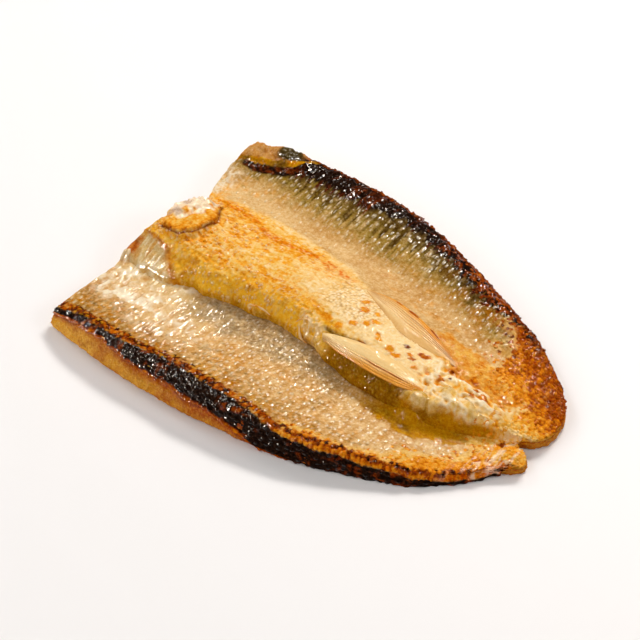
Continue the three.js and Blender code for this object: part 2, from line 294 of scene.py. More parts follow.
# %% Camera and light
CAMERA_AZIMUTH, CAMERA_ELEVATION = math.radians(42.4), math.radians(45)
CAMERA_DISTANCE, LENS_MM = 700, 103.6
TARGET = Vector((-12.5, 6, 0))
back = Vector((math.sin(CAMERA_AZIMUTH) * math.cos(CAMERA_ELEVATION),
               -math.cos(CAMERA_AZIMUTH) * math.cos(CAMERA_ELEVATION), math.sin(CAMERA_ELEVATION)))

camera = bpy.data.objects.new("Camera", bpy.data.cameras.new("Camera"))
camera.data.lens = LENS_MM
camera.data.clip_start = 0.01
camera.location = (TARGET + CAMERA_DISTANCE * back) * MM
camera.rotation_euler = back.to_track_quat("Z", "Y").to_euler()
bpy.context.scene.collection.objects.link(camera)
bpy.context.scene.camera = camera


def area_light(name, place, width, depth, watts, colour=(1, 1, 1), shines=True, fills=True):
    """A soft light at place, in millimetres, that points at the belly. It may leave no highlight,
    or nothing but highlights."""
    light = bpy.data.objects.new(name, bpy.data.lights.new(name, "AREA"))
    light.data.shape = "RECTANGLE"
    light.data.size = width * MM
    light.data.size_y = depth * MM
    light.data.energy = watts
    light.data.color = colour
    light.location = Vector(place) * MM
    light.rotation_euler = Vector(place).to_track_quat("Z", "Y").to_euler()
    light.visible_glossy = shines
    light.visible_diffuse = fills
    bpy.context.scene.collection.objects.link(light)


area_light("key light", (-90, 620, 720), 420, 140, 6.0, (1.0, 0.98, 0.95))
area_light("side light", (620, 160, 520), 200, 200, 1.3, (1.0, 0.99, 0.97))
area_light("left light", (-640, 60, 520), 160, 160, 1.0)
area_light("fill light", (-250, -750, 700), 900, 900, 4.4, shines=False)
WARM_GLINT = (1.0, 0.9, 0.76)
GLINT_LAMPS = [("behind", (-60, 640, 700), 110, 5.0), ("above", (120, 260, 860), 90, 2.2),
               ("far", (-400, 660, 600), 80, 3.0), ("left", (-430, -300, 720), 110, 3.0),
               ("low", (-430, -714, 360), 160, 20.0)]
for name, place, width, watts in GLINT_LAMPS:
    area_light("glint " + name, place, width, width, watts, WARM_GLINT, fills=False)

world = bpy.data.worlds.new("studio")
world.use_nodes = True
WORLD_GREY, WORLD_STRENGTH = 0.93, 0.2
sky = world.node_tree.nodes["Background"]
sky.inputs["Color"].default_value = (WORLD_GREY, WORLD_GREY, WORLD_GREY, 1)
sky.inputs["Strength"].default_value = WORLD_STRENGTH
world.cycles_visibility.glossy = False
bpy.context.scene.world = world
bpy.context.scene.view_settings.view_transform = "Standard"
print("camera at, mm:", [round(value / MM) for value in camera.location])

# %% [markdown]
# ## Colours
#
# Each colour is named for what it is on the fish. They were judged against the photograph and are
# written as screen colours. The shaders work in linear light, so each is converted once.


# %% Palette
def linear(screen):
    """A screen colour such as "e0aa50" as linear red, green and blue."""
    parts = [int(screen[k:k + 2], 16) / 255 for k in (0, 2, 4)]
    return np.array([p / 12.92 if p <= 0.04045 else ((p + 0.055) / 1.055) ** 2.4 for p in parts])


PALE_BEIGE = linear("e0b87e")
BEIGE = linear("c48f4e")
SILVER = linear("917650")
MEMBRANE = linear("d2b074")
BROWNED = linear("b06a10")
CREAM = linear("f2cf94")
PALE_GOLD = linear("e9b350")
BRIGHT_GOLD = linear("e89820")
CRUST_GOLD = linear("d4780a")
CRUST_BROWN = linear("a84a04")
RUST = linear("722a04")
EMBER = linear("dc6204")
CHAR = linear("1c0d06")
# Gold of the ridge's side, painted brighter than its crust as painted light.
LIT_SIDE_GOLD = linear("fabc2c")
OLIVE_BEIGE = linear("9e7a44")
OLIVE = linear("bc7e06")
OLIVE_GOLD = linear("9c7c2c")
DARK_OLIVE = linear("4c3410")
PALE_YELLOW = linear("d9aa4e")
CUT_FLESH = linear("cc8410")
PALE_FLESH = linear("e0a030")
FIN_STRAW = linear("efc684")
FIN_TAN = linear("e2b06c")
FAT_WHITE = linear("faeccf")
PINK_FLESH = linear("c8a286")
SOOT = linear("4a3a18")
# Cream of the beads and drops: partly their own pale colour, partly a painted highlight.
FAT_AND_SHEEN_CREAM = linear("fbe6bc")
FRYING = [(0, CREAM), (0.22, PALE_GOLD), (0.42, BRIGHT_GOLD), (0.6, CRUST_GOLD), (0.76, CRUST_BROWN),
          (0.9, RUST), (1.05, CHAR)]
SKIN_TONES = [(0, PALE_BEIGE), (0.3, BEIGE), (0.5, OLIVE_BEIGE), (0.68, DARK_OLIVE), (0.85, CHAR)]


def ramp(stops, amount):
    """Colours along a row of stops."""
    places = [place for place, tone in stops]
    channels = [np.interp(amount, places, [tone[k] for place, tone in stops]) for k in range(3)]
    return np.stack(channels, -1)


def fried(amount):
    """The crust's colour, from cream at 0 through gold to char at 1.05."""
    return ramp(FRYING, amount)


def tint(colour, other, share):
    """Mixes the other colour into one colour or an array of them, by an array of shares from 0 to 1."""
    share = np.clip(share, 0, 1)[..., None]
    return colour * (1 - share) + other * share


def layered(colour, layers):
    """Lays colours over one another, each with its own share."""
    for other, share in layers:
        colour = tint(colour, other, share)
    return colour


def grainy(zone, tone, amount):
    """Breaks the soft border of a zone into grains, each with its own random tone."""
    return rise(0.42, 0.58, zone + amount * (tone - 0.5) * (zone > 0.02) * (zone < 0.98))


print("half-fried gold, linear:", np.round(fried(0.42), 3))

# %% [markdown]
# ## Closed sheets of skin
#
# The skin is a sheet about a millimetre thick. A fine grid makes its outside, where every point can be
# pushed along its normal to raise scales and crust. The hidden inside needs no detail, so it has only
# every fourth point, and the rim stitches four fine steps to each coarse one. The mesh is closed.

# %% Mesh helpers
COARSE = 4
BOX_MARGIN = 0.01


def grid_normals(points):
    """Unit normals of a grid of points, from the steps along it and across it."""
    run = np.gradient(points, axis=0)
    across = np.gradient(points, axis=1)
    normal = np.cross(run, across)
    return normal / np.maximum(np.linalg.norm(normal, axis=-1, keepdims=True), 1e-9)


def raised(points, relief):
    """A grid of points, each pushed along its normal by its own relief."""
    return points + grid_normals(points) * relief[..., None]


def quads(rows, columns, start=0, flip=False):
    """The faces of a grid whose points are numbered row by row from start."""
    i, j = np.meshgrid(np.arange(rows - 1), np.arange(columns - 1), indexing="ij")
    a = (start + i * columns + j).ravel()
    faces = np.stack([a, a + columns, a + columns + 1, a + 1], -1)
    return (faces[:, ::-1] if flip else faces).tolist()


def rim_loop(rows, columns, start=0):
    """The numbers of a grid's edge points, anticlockwise from above."""
    index = start + np.arange(rows * columns).reshape(rows, columns)
    return np.concatenate([index[:-1, 0], index[-1, :-1], index[:0:-1, -1], index[0, :0:-1]])


def stitch(fine, coarse):
    """Triangles between a fine loop and a coarse one under it, COARSE fine steps to each coarse one."""
    faces = []
    for j, corner in enumerate(coarse):
        following = coarse[(j + 1) % len(coarse)]
        first = j * COARSE
        points = [fine[(first + k) % len(fine)] for k in range(COARSE + 1)]
        middle = COARSE // 2
        for k in range(COARSE):
            faces.append([points[k], corner if k < middle else following, points[k + 1]])
        faces.append([corner, following, points[middle]])
    return faces


def boxed(points):
    """Points in millimetres, kept a hair inside the solid model's box."""
    return np.clip(points, box_low + BOX_MARGIN, box_high - BOX_MARGIN)


def new_object(name, points, faces):
    """A smooth mesh object from points in millimetres, lined up with the solid model."""
    mesh = bpy.data.meshes.new(name)
    mesh.from_pydata((boxed(points.reshape(-1, 3) + shift) * MM).tolist(), [], faces)
    mesh.shade_smooth()
    mesh.update()
    thing = bpy.data.objects.new(name, mesh)
    bpy.context.scene.collection.objects.link(thing)
    print(f"{name}: {sum(len(face) - 2 for face in faces)} triangles")
    return thing


def sheet(name, outer, thickness):
    """A closed sheet under a grid of outer points, whose hidden points follow the outer ones."""
    rows, columns = outer.shape[:2]
    inner = (outer - grid_normals(outer) * thickness)[::COARSE, ::COARSE]
    start = rows * columns
    faces = quads(rows, columns) + quads(*inner.shape[:2], start, flip=True)
    faces += stitch(rim_loop(rows, columns), rim_loop(*inner.shape[:2], start))
    return new_object(name, np.concatenate([outer.reshape(-1, 3), inner.reshape(-1, 3)]), faces)


def paint(thing, colours, wet):
    """Stores the colour and the wetness of each point, outer points first, then inner ones."""
    def spread(array):
        flat = array.reshape(-1, array.shape[-1])
        if len(flat) == len(thing.data.vertices):
            return flat
        return np.concatenate([flat, array[::COARSE, ::COARSE].reshape(-1, array.shape[-1])])

    flat = spread(colours)
    layer = thing.data.attributes.new("paint", "FLOAT_COLOR", "POINT")
    layer.data.foreach_set("color", np.concatenate([flat, np.ones((len(flat), 1))], 1).ravel())
    layer = thing.data.attributes.new("wet", "FLOAT", "POINT")
    layer.data.foreach_set("value", spread(np.clip(wet, 0, 1)[..., None]).ravel())


# %% [markdown]
# Three rules make most of the fine relief. Scales overlap like tiles: each is an oval that rises to a
# free edge facing the tail, and the foremost one is on top. Cells are random spots, each with its own
# ground around it, which gives bubbles, crumbs and glints of oil. Creases, and the net of the crisp
# crust, follow the lines where smooth lumps turn from high to low.


# %% Scales, cells and creases
SCALE_LENGTH = 3.1


def scales(x, y, width):
    """0 where a scale starts, rising to 1 at its free edge."""
    height = np.zeros_like(x)
    column = np.floor(x / SCALE_LENGTH)
    for ahead in (-1, 0, 1):
        place = column + ahead
        stagger = 0.5 * np.mod(place, 2)
        row = np.floor(y / width - stagger)
        for beside in (-1, 0, 1):
            wander = 0.3 * (chance(place, row + beside) - 0.5)
            dx = (x / SCALE_LENGTH - place - wander) / 1.15
            dy = (y / width - stagger - row - beside - 0.5 + wander) / 0.66
            height = np.maximum(height, np.where(dx * dx + dy * dy < 1, 0.5 + 0.5 * dx, 0))
    return height


def scale_tips(x, y, width):
    """1 at the one grid point nearest to each scale's tip, 0 elsewhere."""
    u = x / SCALE_LENGTH - 0.95
    column = np.round(u)
    v = y / width - 0.5 * np.mod(column, 2) - 0.5
    row = np.round(v)
    away = np.hypot((u - column) * SCALE_LENGTH, (v - row) * width)
    order = np.lexsort((away.ravel(), row.ravel(), column.ravel()))
    pairs = np.stack([column.ravel()[order], row.ravel()[order]])
    first = np.concatenate([[True], np.any(np.diff(pairs, axis=1) != 0, axis=0)])
    tips = np.zeros(x.size)
    tips[order[first]] = 1
    return (tips * (away.ravel() < 0.4)).reshape(x.shape)


def cells(x, y, salt):
    """The distance to the nearest of many scattered spots, and that spot's own random number."""
    i, j = np.floor(x), np.floor(y)
    nearest, tone = np.full(x.shape, 9.0), np.zeros(x.shape)
    for a in (-1, 0, 1):
        for b in (-1, 0, 1):
            px = i + a + 0.1 + 0.8 * chance(i + a, j + b, salt + 1)
            py = j + b + 0.1 + 0.8 * chance(i + a, j + b, salt + 2)
            distance = np.hypot(x - px, y - py)
            tone = np.where(distance < nearest, chance(i + a, j + b, salt + 3), tone)
            nearest = np.minimum(nearest, distance)
    return nearest, tone


def dotted(cell, reach, rarity, more=0):
    """Spots in some of the cells. Each fades out over reach, and only numbers past rarity have one."""
    distance, tone = cell
    return fall(*reach, distance) * rise(*rarity, tone + more)


def folded(lumps):
    """Turns smooth lumps into creases: 1 along every line where they pass through 0."""
    return 1 - np.abs(lumps)


def on_line(distance, width):
    """1 on a line, fading away beside it."""
    return np.exp(-(distance / width) ** 2)


def spots(x, y, places, size):
    """1 inside uneven round spots at the given places, 0 outside."""
    ragged = 0.75 * cloudy(x / (0.9 * size), y / (0.7 * size), 3, 51)
    reach = [size * (0.7 + 0.6 * chance(px, py)) for px, py in places]
    nearest = np.min([np.hypot((x - px) / 1.3, y - py) / r for (px, py), r in zip(places, reach)], axis=0)
    return fall(0.75, 1.15, nearest + ragged)


# %% [markdown]
# ## The oily skin's material
#
# Fried skin is coloured by what happened at each place, and in places by painted highlights and
# painted shade, so the colour is stored on the points and the shader only adds what is finer than the
# mesh: specks, tiny bumps and an uneven film of oil. The film is a thin coat with sharp highlights over a
# duller skin.


# %% Skin material
def connect(tree, node, feeds):
    """Sets a node's inputs. Feeds gives each one a plain value, or the output that drives it."""
    for key, value in feeds.items():
        if isinstance(value, bpy.types.NodeSocket):
            tree.links.new(value, node.inputs[key])
        else:
            node.inputs[key].default_value = value


def add(tree, kind, feeds, **settings):
    """A new node with its settings, and its inputs connected."""
    node = tree.nodes.new(kind)
    for name, value in settings.items():
        setattr(node, name, value)
    connect(tree, node, feeds)
    return node


def new_material(name):
    """A material with nodes. Returns it, its tree, its shader and the colour stored on the points."""
    material = bpy.data.materials.new(name)
    material.use_nodes = True
    tree = material.node_tree
    stored = add(tree, "ShaderNodeAttribute", {}, attribute_name="paint").outputs["Color"]
    return material, tree, tree.nodes["Principled BSDF"], stored


def speckled(name, roughness, bump_mm, speck_mm, contrast):
    """A material that reads the stored colour, and adds specks, bumps and oil at the given sizes."""
    material, tree, shader, stored = new_material(name)
    place = add(tree, "ShaderNodeTexCoord", {}).outputs["Object"]
    wet = add(tree, "ShaderNodeAttribute", {}, attribute_name="wet").outputs["Fac"]

    def noise(size_mm, detail, rough=0.6):
        feeds = {"Scale": 1 / (size_mm * MM), "Detail": detail, "Roughness": rough, "Vector": place}
        return add(tree, "ShaderNodeTexNoise", feeds).outputs["Fac"]

    def bumps(size_mm, detail, height_mm):
        feeds = {"Strength": 1.0, "Distance": height_mm * MM, "Height": noise(size_mm, detail)}
        return add(tree, "ShaderNodeBump", feeds).outputs["Normal"]

    spread = {"Value": noise(speck_mm, 4, 0.7), "From Min": 0.32, "From Max": 0.68,
              "To Min": 1 - contrast, "To Max": 1 + contrast}
    gamma = add(tree, "ShaderNodeMapRange", spread).outputs["Result"]
    uneven = {0: noise(2.6, 3), 1: 0.3, 2: roughness - 0.15}
    connect(tree, shader, {
        "Base Color": add(tree, "ShaderNodeGamma", {"Color": stored, "Gamma": gamma}).outputs["Color"],
        "Roughness": add(tree, "ShaderNodeMath", uneven, operation="MULTIPLY_ADD").outputs["Value"],
        "Normal": bumps(0.9, 5, bump_mm),
        "Specular IOR Level": 0.0,
        "Coat Weight": wet,
        "Coat Roughness": 0.08,
        "Coat Normal": bumps(1.7, 1, 2.2 * bump_mm),
    })
    return material


oily_skin = speckled("oily fried skin", roughness=0.42, bump_mm=0.12, speck_mm=1.0, contrast=0.3)


def hand_over(thing):
    """Hands a piece to the frame."""
    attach(thing, BODY)
    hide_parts(NODE)


def finished(thing, material):
    """Gives a piece its material and hands it to the frame."""
    thing.data.materials.append(material)
    hand_over(thing)


# %% [markdown]
# ## The near flank
#
# This sheet starts low on the near wall, climbs it as the black strip of thick back skin, turns over
# the crisp crease and dips to the grey valley at the ridge's foot, where it tucks in under the ridge.

# %% Near flank: grid
STATIONS = 480
WRAP_ROWS, FLANK_ROWS, TUCK_ROWS = 28, 100, 4
TUCK = np.array([0, 3.0, -1.6])
SKIN_THICKNESS = 0.9
STRIP_SHARE = [[-86, 0.08], [-58, 0.12], [-44, 0.3], [-25, 0.28], [-15, 0.45], [-6, 0.46], [3, 0.62],
               [12, 0.86], [20, 0.97], [60, 0.97], [92, 0.9]]


def station_grid(rows):
    """The s of every point of a grid that has this many points across."""
    return np.linspace(0, 1, STATIONS + 1)[:, None] * np.ones((1, rows))


s = station_grid(WRAP_ROWS + FLANK_ROWS + TUCK_ROWS + 1)
near_x = rail_point(0, s[:, 0])[:, 0]
strip_share = along(STRIP_SHARE, near_x) + 0.07 * cloudy(near_x / 6, 0 * near_x, 4, 2) * fall(20, 40, near_x)
wrap = -strip_share[:, None] * np.linspace(1, 0, WRAP_ROWS, endpoint=False)[None]
flank = np.linspace(0, 1, FLANK_ROWS + 1)[None] * np.ones((STATIONS + 1, 1))
tuck = 1 + np.linspace(0, 1, TUCK_ROWS + 1)[None, 1:] * np.ones((STATIONS + 1, 1))
t = np.concatenate([wrap, flank, tuck], 1)
surface = skin_point(s, np.minimum(t, 1))
tuck_share = np.clip(t - 1, 0, 1) * (0.15 + 0.85 * rise(0, 0.05, s))
surface += tuck_share[..., None] * TUCK
print("near flank grid:", surface.shape[:2])

# %% [markdown]
# Distances inward from the near edge drive both the relief and the colours. The burnt strip has its
# own width. Past it the skin is crisp, then browned, then plain. By the head a film of white fat lies
# on it, along the ridge's foot it is grey, partly its silver and partly painted shade, and toward the
# tail the hollow there is olive, partly a stain and partly painted shade under the fin and the lumps.

# %% Near flank: zones
CHAR_WIDTH = [[-86, 2.6], [-47, 2.8], [-38, 4.2], [-28, 5.4], [-12, 4.6], [0, 3.4], [8, 2.2], [20, -0.8],
              [38, -0.9], [48, -1.7], [92, -2.4]]
HOLLOW_WIDTH = [[16, 0.02], [36, 0.16], [50, 0.26], [64, 0.16], [80, 0.05]]
x, y = surface[..., 0], surface[..., 1]
inland = np.where(t < 0, along(CREASE_HEIGHT, x) * t, y - along(NEAR_EDGE, x))
wander = cloudy(x / 5, y / 5, salt=3)
mottle = cloudy(x / 7, y / 5, salt=11)
fine = cloudy(x / 1.6, y / 1.6, 3, 6)
from_char = inland - along(CHAR_WIDTH, x) - wander - 0.5 * fine
charred = fall(-0.4, 0.4, from_char)
band = fall(2.4, 4.8, from_char + wander) * (1 - charred)
rim_gold = rise(14, 30, x) * fall(2.5, 8, from_char + 3 * mottle) * (1 - charred)
tail_edge = rise(46, 66, x + 7 * wander) * fall(5, 15, inland - 3 * mottle)
tail_crust = np.maximum(tail_edge, rise(64, 84, x + 6 * wander)) * (1 - charred)
crust = np.maximum(rim_gold, tail_crust)
open_skin = (1 - charred) * (1 - np.maximum(crust, band))
grey = window(-58, -40, 8, 30, x) * rise(0.6, 0.84, t + 0.12 * wander)
hollow = rise(16, 40, x) * rise(0.96, 1.0, t + along(HOLLOW_WIDTH, x) + 0.06 * wander + 0.03 * fine)
browned = fall(2, 15, from_char + 6 * mottle - 3 * fall(-70, -50, x)) * fall(30, 56, x)
film = window(-100, -90, -46, -20, x) * window(0.2, 0.4, 1.5, 1.6, t + 0.1 * wander + 0.004 * (x + 60))
bare = open_skin * (1 - film) * (1 - hollow)
on_wall = fall(-3, 0, inland) * rise(-6, 8, x)
by_head = fall(-50, -20, x)
print("share of points charred, percent:", round(100 * float(charred.mean())))

# %% [markdown]
# The relief is a sum of heights in millimetres: scales on the bare skin, cells on the crust, ropes of
# char on the burnt strip, creases in the fat. Glints are small raised spots that are made wet below, and
# the gleams on the bare skin are also painted white as painted highlights.

# %% Near flank: relief
NEAR_SCALE_WIDTH = 3.5
scale_x, scale_y = x + 0.7 * wander, y + 0.8 * wander
scale = scales(scale_x, scale_y, NEAR_SCALE_WIDTH)
crumbs = cells(x / 1.15, y / 1.15, 5)
near_cell, crumb_tone = crumbs
rope_cell = cells(x / 3.4 + inland / 5, inland / 2.3 + 0.3 * wander, 4)[0]
wrinkle = folded(cloudy(x / 2.0 + y / 40, y / 7, 2, 33)
                 + 0.5 * fall(-72, -58, x) * cloudy(x / 3, y / 2.4, 2, 39))
crumple = folded(cloudy(x / 3.0 + y / 9, y / 2.6, 3, 31))
dash = dotted(cells(x / 2.0 + inland / 9, inland / 3.6, 12), (0.16, 0.34), (0.15, 0.25), 0.2 * by_head)
dash = np.maximum(dash, dotted(crumbs, (0.16, 0.32), (0.55, 0.65), 0.25 * by_head)) * (1 - on_wall)
wall_dash = dotted(cells(x / 3.4, inland / 1.3, 14), (0.14, 0.3), (0.4, 0.5))
dash = np.maximum(dash, 0.8 * on_wall * wall_dash) * charred
gleam = dotted(cells(x / 1.7 + y / 12, y / 2.8, 18), (0.12, 0.26), (0.4, 0.5)) * bare * (1 - 0.8 * browned)

relief = bare * (0.22 - 0.1 * grey) * (scale - 0.5)
relief += 1.5 * charred * (1 - 0.7 * on_wall) * (0.55 - rope_cell)
relief += 0.5 * charred * cloudy(x / 1.3, inland / 1.3, 3, 9)
relief += 0.7 * charred * on_wall * cloudy(x / 7, inland / 1.5, 3, 10)
relief += 0.6 * dash + 0.25 * gleam * fall(0.95, 1.0, t)
relief += (0.6 * band + 0.85 * crust) * (0.65 - near_cell) + (0.16 * open_skin + 0.3 * crust) * fine
relief += 1.3 * open_skin * film * (wrinkle - 0.7) + 0.5 * grey * (1 - hollow) * (crumple - 0.7)
relief += 0.3 * cloudy(x / 4, y / 4, 2, 35)
relief *= fall(1, 1.2, t)
near_skin = sheet("near_flank_skin", raised(surface, relief), SKIN_THICKNESS)

# %% [markdown]
# The colours go on in the order in which the skin got them: its own tones, the fat, the browning, the
# crust, the char. Among them are painted light: sheen on the fat, highlights on the scale edges, the
# gleams, the pink line under the strip and the tip's streaks, and painted shade in the grey valley and
# the olive hollow. Last come the oil's wet places, which mirror the lamps.

# %% Near flank: colour
raw = 0.24 - 0.08 * rise(16, 44, x) + 0.2 * mottle + 0.24 * fine + 0.08 * (scale < 0.55)
blotch = rise(0.0, 0.5, cloudy(x / 4, y / 3, 3, 37)) * fall(0.5, 0.85, t)
# White by the head: partly a film of white fat, partly painted sheen.
fat_and_sheen = film * fall(-60, -44, x) * window(0.3, 0.45, 0.75, 0.95, t)
fat_and_sheen *= rise(-0.2, 0.5, cloudy(x / 2.6, y / 2.2, 3, 40) + 0.4 * mottle)
colour = layered(ramp(SKIN_TONES, np.clip(raw, 0, 0.5)), [
    (tint(BRIGHT_GOLD, BROWNED, 0.5 + fine), 0.4 * blotch * open_skin * (1 - 0.5 * film)),
    (CREAM, (0.3 + 0.6 * fine) * film),
    (FAT_WHITE, 0.8 * fat_and_sheen),
    (MEMBRANE, rise(0.6, 0.9, t) * fall(-48, -30, x) * (0.7 + 0.5 * fine)),
    # painted highlight along the crests of the fat's wrinkles
    (FAT_WHITE, 0.6 * film * rise(0.7, 0.95, wrinkle) * rise(-0.4, 0.2, mottle)),
    (BROWNED, 0.55 * film * fall(0.4, 0.8, wrinkle) * rise(-0.2, 0.4, wander)),
    # silver skin of the valley, darker in part as painted shade of the hollow under the ridge
    (SILVER, grey * (0.8 + 0.5 * fine)),
    (CREAM, 0.25 * grey * rise(0.8, 0.98, crumple)),
    (tint(BROWNED, OLIVE, 0.5 + mottle), browned * (0.9 + 0.6 * fine)),
    (DARK_OLIVE, 0.6 * browned * rise(0.1, 0.6, cloudy(x / 3, y / 2, 3, 42)) * by_head),
    (ramp(SKIN_TONES, 0.5 + 0.2 * (crumb_tone - 0.5)), 0.5 * grainy(0.6 * browned, crumb_tone, 1.2)),
    # pale free edges of the scales: painted highlight
    (CREAM, 0.3 * rise(0.72, 0.92, scale) * open_skin * (1 - film) * (1 - 0.5 * grey)),
    # olive in the hollow: partly the skin's own stain, partly painted shade under the fin and the lumps
    (OLIVE, hollow),
    (DARK_OLIVE, 0.4 * hollow * rise(-0.2, 0.5, cloudy(x / 5, y / 3, 3, 46))),
    # white on the gleams: painted highlight
    (FAT_WHITE, 0.5 * gleam),
])

done = 0.4 + 0.2 * (crumb_tone - 0.5) + 0.24 * rise(0.35, 0.75, near_cell) + 0.18 * wander + 0.1 * fine
done += 0.22 * fall(2, 7, from_char) - 0.12 * rise(76, 86, x)
band_done = 0.8 + 0.34 * (crumb_tone - 0.5) + 0.2 * fine + 0.14 * rise(0.35, 0.7, near_cell)
band_done -= 0.24 * rise(10, 26, x) * fall(1.2, 2.2, from_char)
flaked = rise(0.1, 0.7, cloudy(x / 2, inland / 2, 3, 21)) * rise(-0.2, 0.4, cloudy(x / 9, y / 9, 2, 22))
from_strip_end = t + strip_share[:, None]
low_fringe = fall(0.03, 0.12, from_strip_end + 0.04 * wander) * (t < 0) * fall(20, 34, x)
low_fat_glint_line = on_line(from_strip_end - 0.012, 0.008) * (t < 0) * fall(-56, -44, x)
low_fat_glint_line *= rise(-0.3, 0.2, cloudy(x / 2.4, 0 * x, 3, 47))
tip_streak_glint = rise(70, 82, x) * rise(0.8, 0.95, wrinkle) * crust
colour = layered(colour, [
    (PALE_GOLD, 0.85 * rise(0, 0.5, crust)),
    (fried(done), np.maximum(rise(0.5, 1, crust), grainy(0.85 * crust, crumb_tone, 1.1))),
    (EMBER, 0.6 * rim_gold * fall(1, 5, from_char + fine) * (0.8 + 0.4 * fine)),
    (fried(band_done), grainy(0.85 * band * fall(62, 84, x), crumb_tone, 1.0)),
    (fried(1.05 - 0.3 * flaked - 0.3 * low_fringe), charred),
    # the fat edge under the strip, painted lighter as a painted highlight
    (PINK_FLESH, 0.7 * low_fat_glint_line),
    (RUST, 0.95 * spots(x, y, [(79.7, 0.9)], 1.5)),
    # white on the tip's crests: partly pale skin, partly painted highlight
    (FAT_WHITE, 0.45 * tip_streak_glint),
])

sheen = rise(0.0, 0.5, lumpy(x / 1.5, y / 2.2, 7))
wet = 0.02 + 0.35 * rise(0.7, 0.95, scale) * open_skin * sheen + dash
wet += 0.25 * charred * fall(0.3, 0.6, rope_cell) * (1 - 0.9 * on_wall)
wet += film * (0.5 + 0.5 * rise(-0.3, 0.3, cloudy(x / 8, y / 8, 2, 36)))
wet += 0.5 * grey * rise(0.8, 0.95, crumple)
wet += 0.9 * (crust + band) * dotted(crumbs, (0.14, 0.3), (0.55, 0.65)) + 0.25 * hollow * sheen
wet += tip_streak_glint + low_fat_glint_line + gleam
paint(near_skin, colour, wet)
near_crumb_zone = np.maximum(0.7 * crust, band) * fall(0.95, 1.0, t)
near_beads = rise(0.08, 0.25, chance(np.floor(x / 3), np.floor(y / 3), 44))
near_beads *= scale_tips(scale_x, scale_y, NEAR_SCALE_WIDTH) * open_skin * (1 - hollow)
near_beads *= fall(0.93, 0.96, t) * (1 - 0.7 * film) * (1 - 0.4 * grey)
finished(near_skin, oily_skin)

# %% [markdown]
# ## The ridge and the far flank
#
# The raised middle is the chest and belly itself, with its skin fried to a golden crust. One sheet
# starts under the valley, bulges over the ridge's foot, crosses the top and the far flank, and wraps
# over the far edge and down the wall behind.

# %% Ridge and far flank: grid
RIDGE_ROWS, FAR_ROWS, FAR_WRAP_ROWS = 84, 92, 16
FAR_WRAP_SHARE = 0.56
FOOT_DENSITY = 1.25
FOOT_SINK = 0.8
FOOT_BULGE = 1.3
FAR_WALL = 12
COLLAR_REACH = 6

across = np.concatenate([1 + (np.arange(RIDGE_ROWS) / RIDGE_ROWS) ** FOOT_DENSITY,
                         2 + np.arange(FAR_ROWS) / FAR_ROWS,
                         3 + FAR_WRAP_SHARE * np.linspace(0, 1, FAR_WRAP_ROWS + 1)])
t = across[None] * np.ones((STATIONS + 1, 1))
far_x = rail_point(3, station_grid(1))[:, 0, 0]
ragged_share = 1 + 0.3 * cloudy(far_x / 5, 0 * far_x, 4, 49)
t = np.where(t > 3, 3 + (t - 3) * ragged_share[:, None], t)
surface = skin_point(station_grid(len(across)), t)
x = surface[..., 0]
lobes = 0.5 + 0.5 * lumpy(x / 6, t * 0, 41) + 0.4 * lumpy(x / 2.4, t * 0, 42)
surface[..., 1] -= FOOT_BULGE * (0.3 + lobes) * window(1, 1.06, 1.1, 1.32, t) * window(-62, -48, 30, 44, x)
surface[..., 1] -= COLLAR_REACH * fall(-66, -52, x) * fall(1.0, 1.16, t)
surface[..., 2] -= FOOT_SINK * fall(1, 1.04, t)
y = surface[..., 1] + FAR_WALL * np.clip(t - 3, 0, 1)
print("ridge and far flank grid:", surface.shape[:2])

# %% [markdown]
# The places of single features were found on the photograph and turned into plan positions: the
# crease of the chest flap, the orange line where the ridge meets the far flank, the torn corner at the
# head, the fried spots and the lumps of white fat by the vent.


# %% Ridge and far flank: landmarks
def line_distance(knots):
    """Distance from each point of the sheet to a line through knots."""
    nearest = np.full(x.shape, 1e3)
    for (ax, ay), (bx, by) in zip(knots, knots[1:]):
        dx, dy = bx - ax, by - ay
        u = np.clip(((x - ax) * dx + (y - ay) * dy) / (dx * dx + dy * dy), 0, 1)
        nearest = np.minimum(nearest, np.hypot(x - ax - u * dx, y - ay - u * dy))
    return nearest


GOLD_LIMIT = [[-90, 20], [-63, 25], [-38, 26.5], [-26, 26], [-12, 24], [0, 19], [10, 20.5], [30, 20.5],
              [60, 22], [92, 24]]
COLLAR_LIMIT = [[-90, 1.13], [-76, 1.16], [-67, 1.08], [-60, 1.0], [-50, 0.9], [92, 0.9]]
CORE_WIDTH = [[-90, 12], [-60, 14], [-30, 13], [-15, 10], [0, 9], [30, 9], [46, 5], [92, 0]]
OLIVE_WIDTH = [[-90, 18], [-69, 19], [-55, 23], [-28, 23], [-14, 22], [0, 19], [17, 15], [34, 13], [92, 9]]
FLAP_CREASE = [(-80, -10.2), (-75, -11.4), (-70.3, -10.8), (-66.6, -6.5), (-64.8, -1.5), (-65, 4),
               (-67.5, 8.5), (-70.6, 12), (-72.5, 15.5)]
BORDER_LINE = [(-75.4, 20.2), (-67.1, 18.8), (-58.7, 18.7), (-45.8, 15.5), (-38.5, 16.2), (-33.4, 17.4),
               (-29.3, 18.6), (-24.1, 19.6), (-15.9, 18.6), (-6.8, 18.4)]
TORN_LINE = [(-92, 43.5), (-83, 46.8), (-74.5, 49.6), (-69, 53.6), (-64, 61)]
HOLLOW_LINE = [(-85, 42.6), (-77, 44.6), (-70, 47.8), (-65.4, 51.2)]
FIN_FOLD = [(1.5, -6.8), (6, -7.4), (10, -6.8), (13.5, -5.9), (18.6, -4.5)]
ORANGE_SPOTS = [(-1.6, -3.4), (0.8, -3.5), (5.8, -3.4), (9.1, 0.5), (5.2, 12.6), (8.2, 8.8), (12.7, 10.1),
                (13, 3.2), (15.6, 6.6), (20.4, 2.4), (21.6, 0.8), (27.6, 0.3), (30.5, -0.3), (39.3, 0.4)]
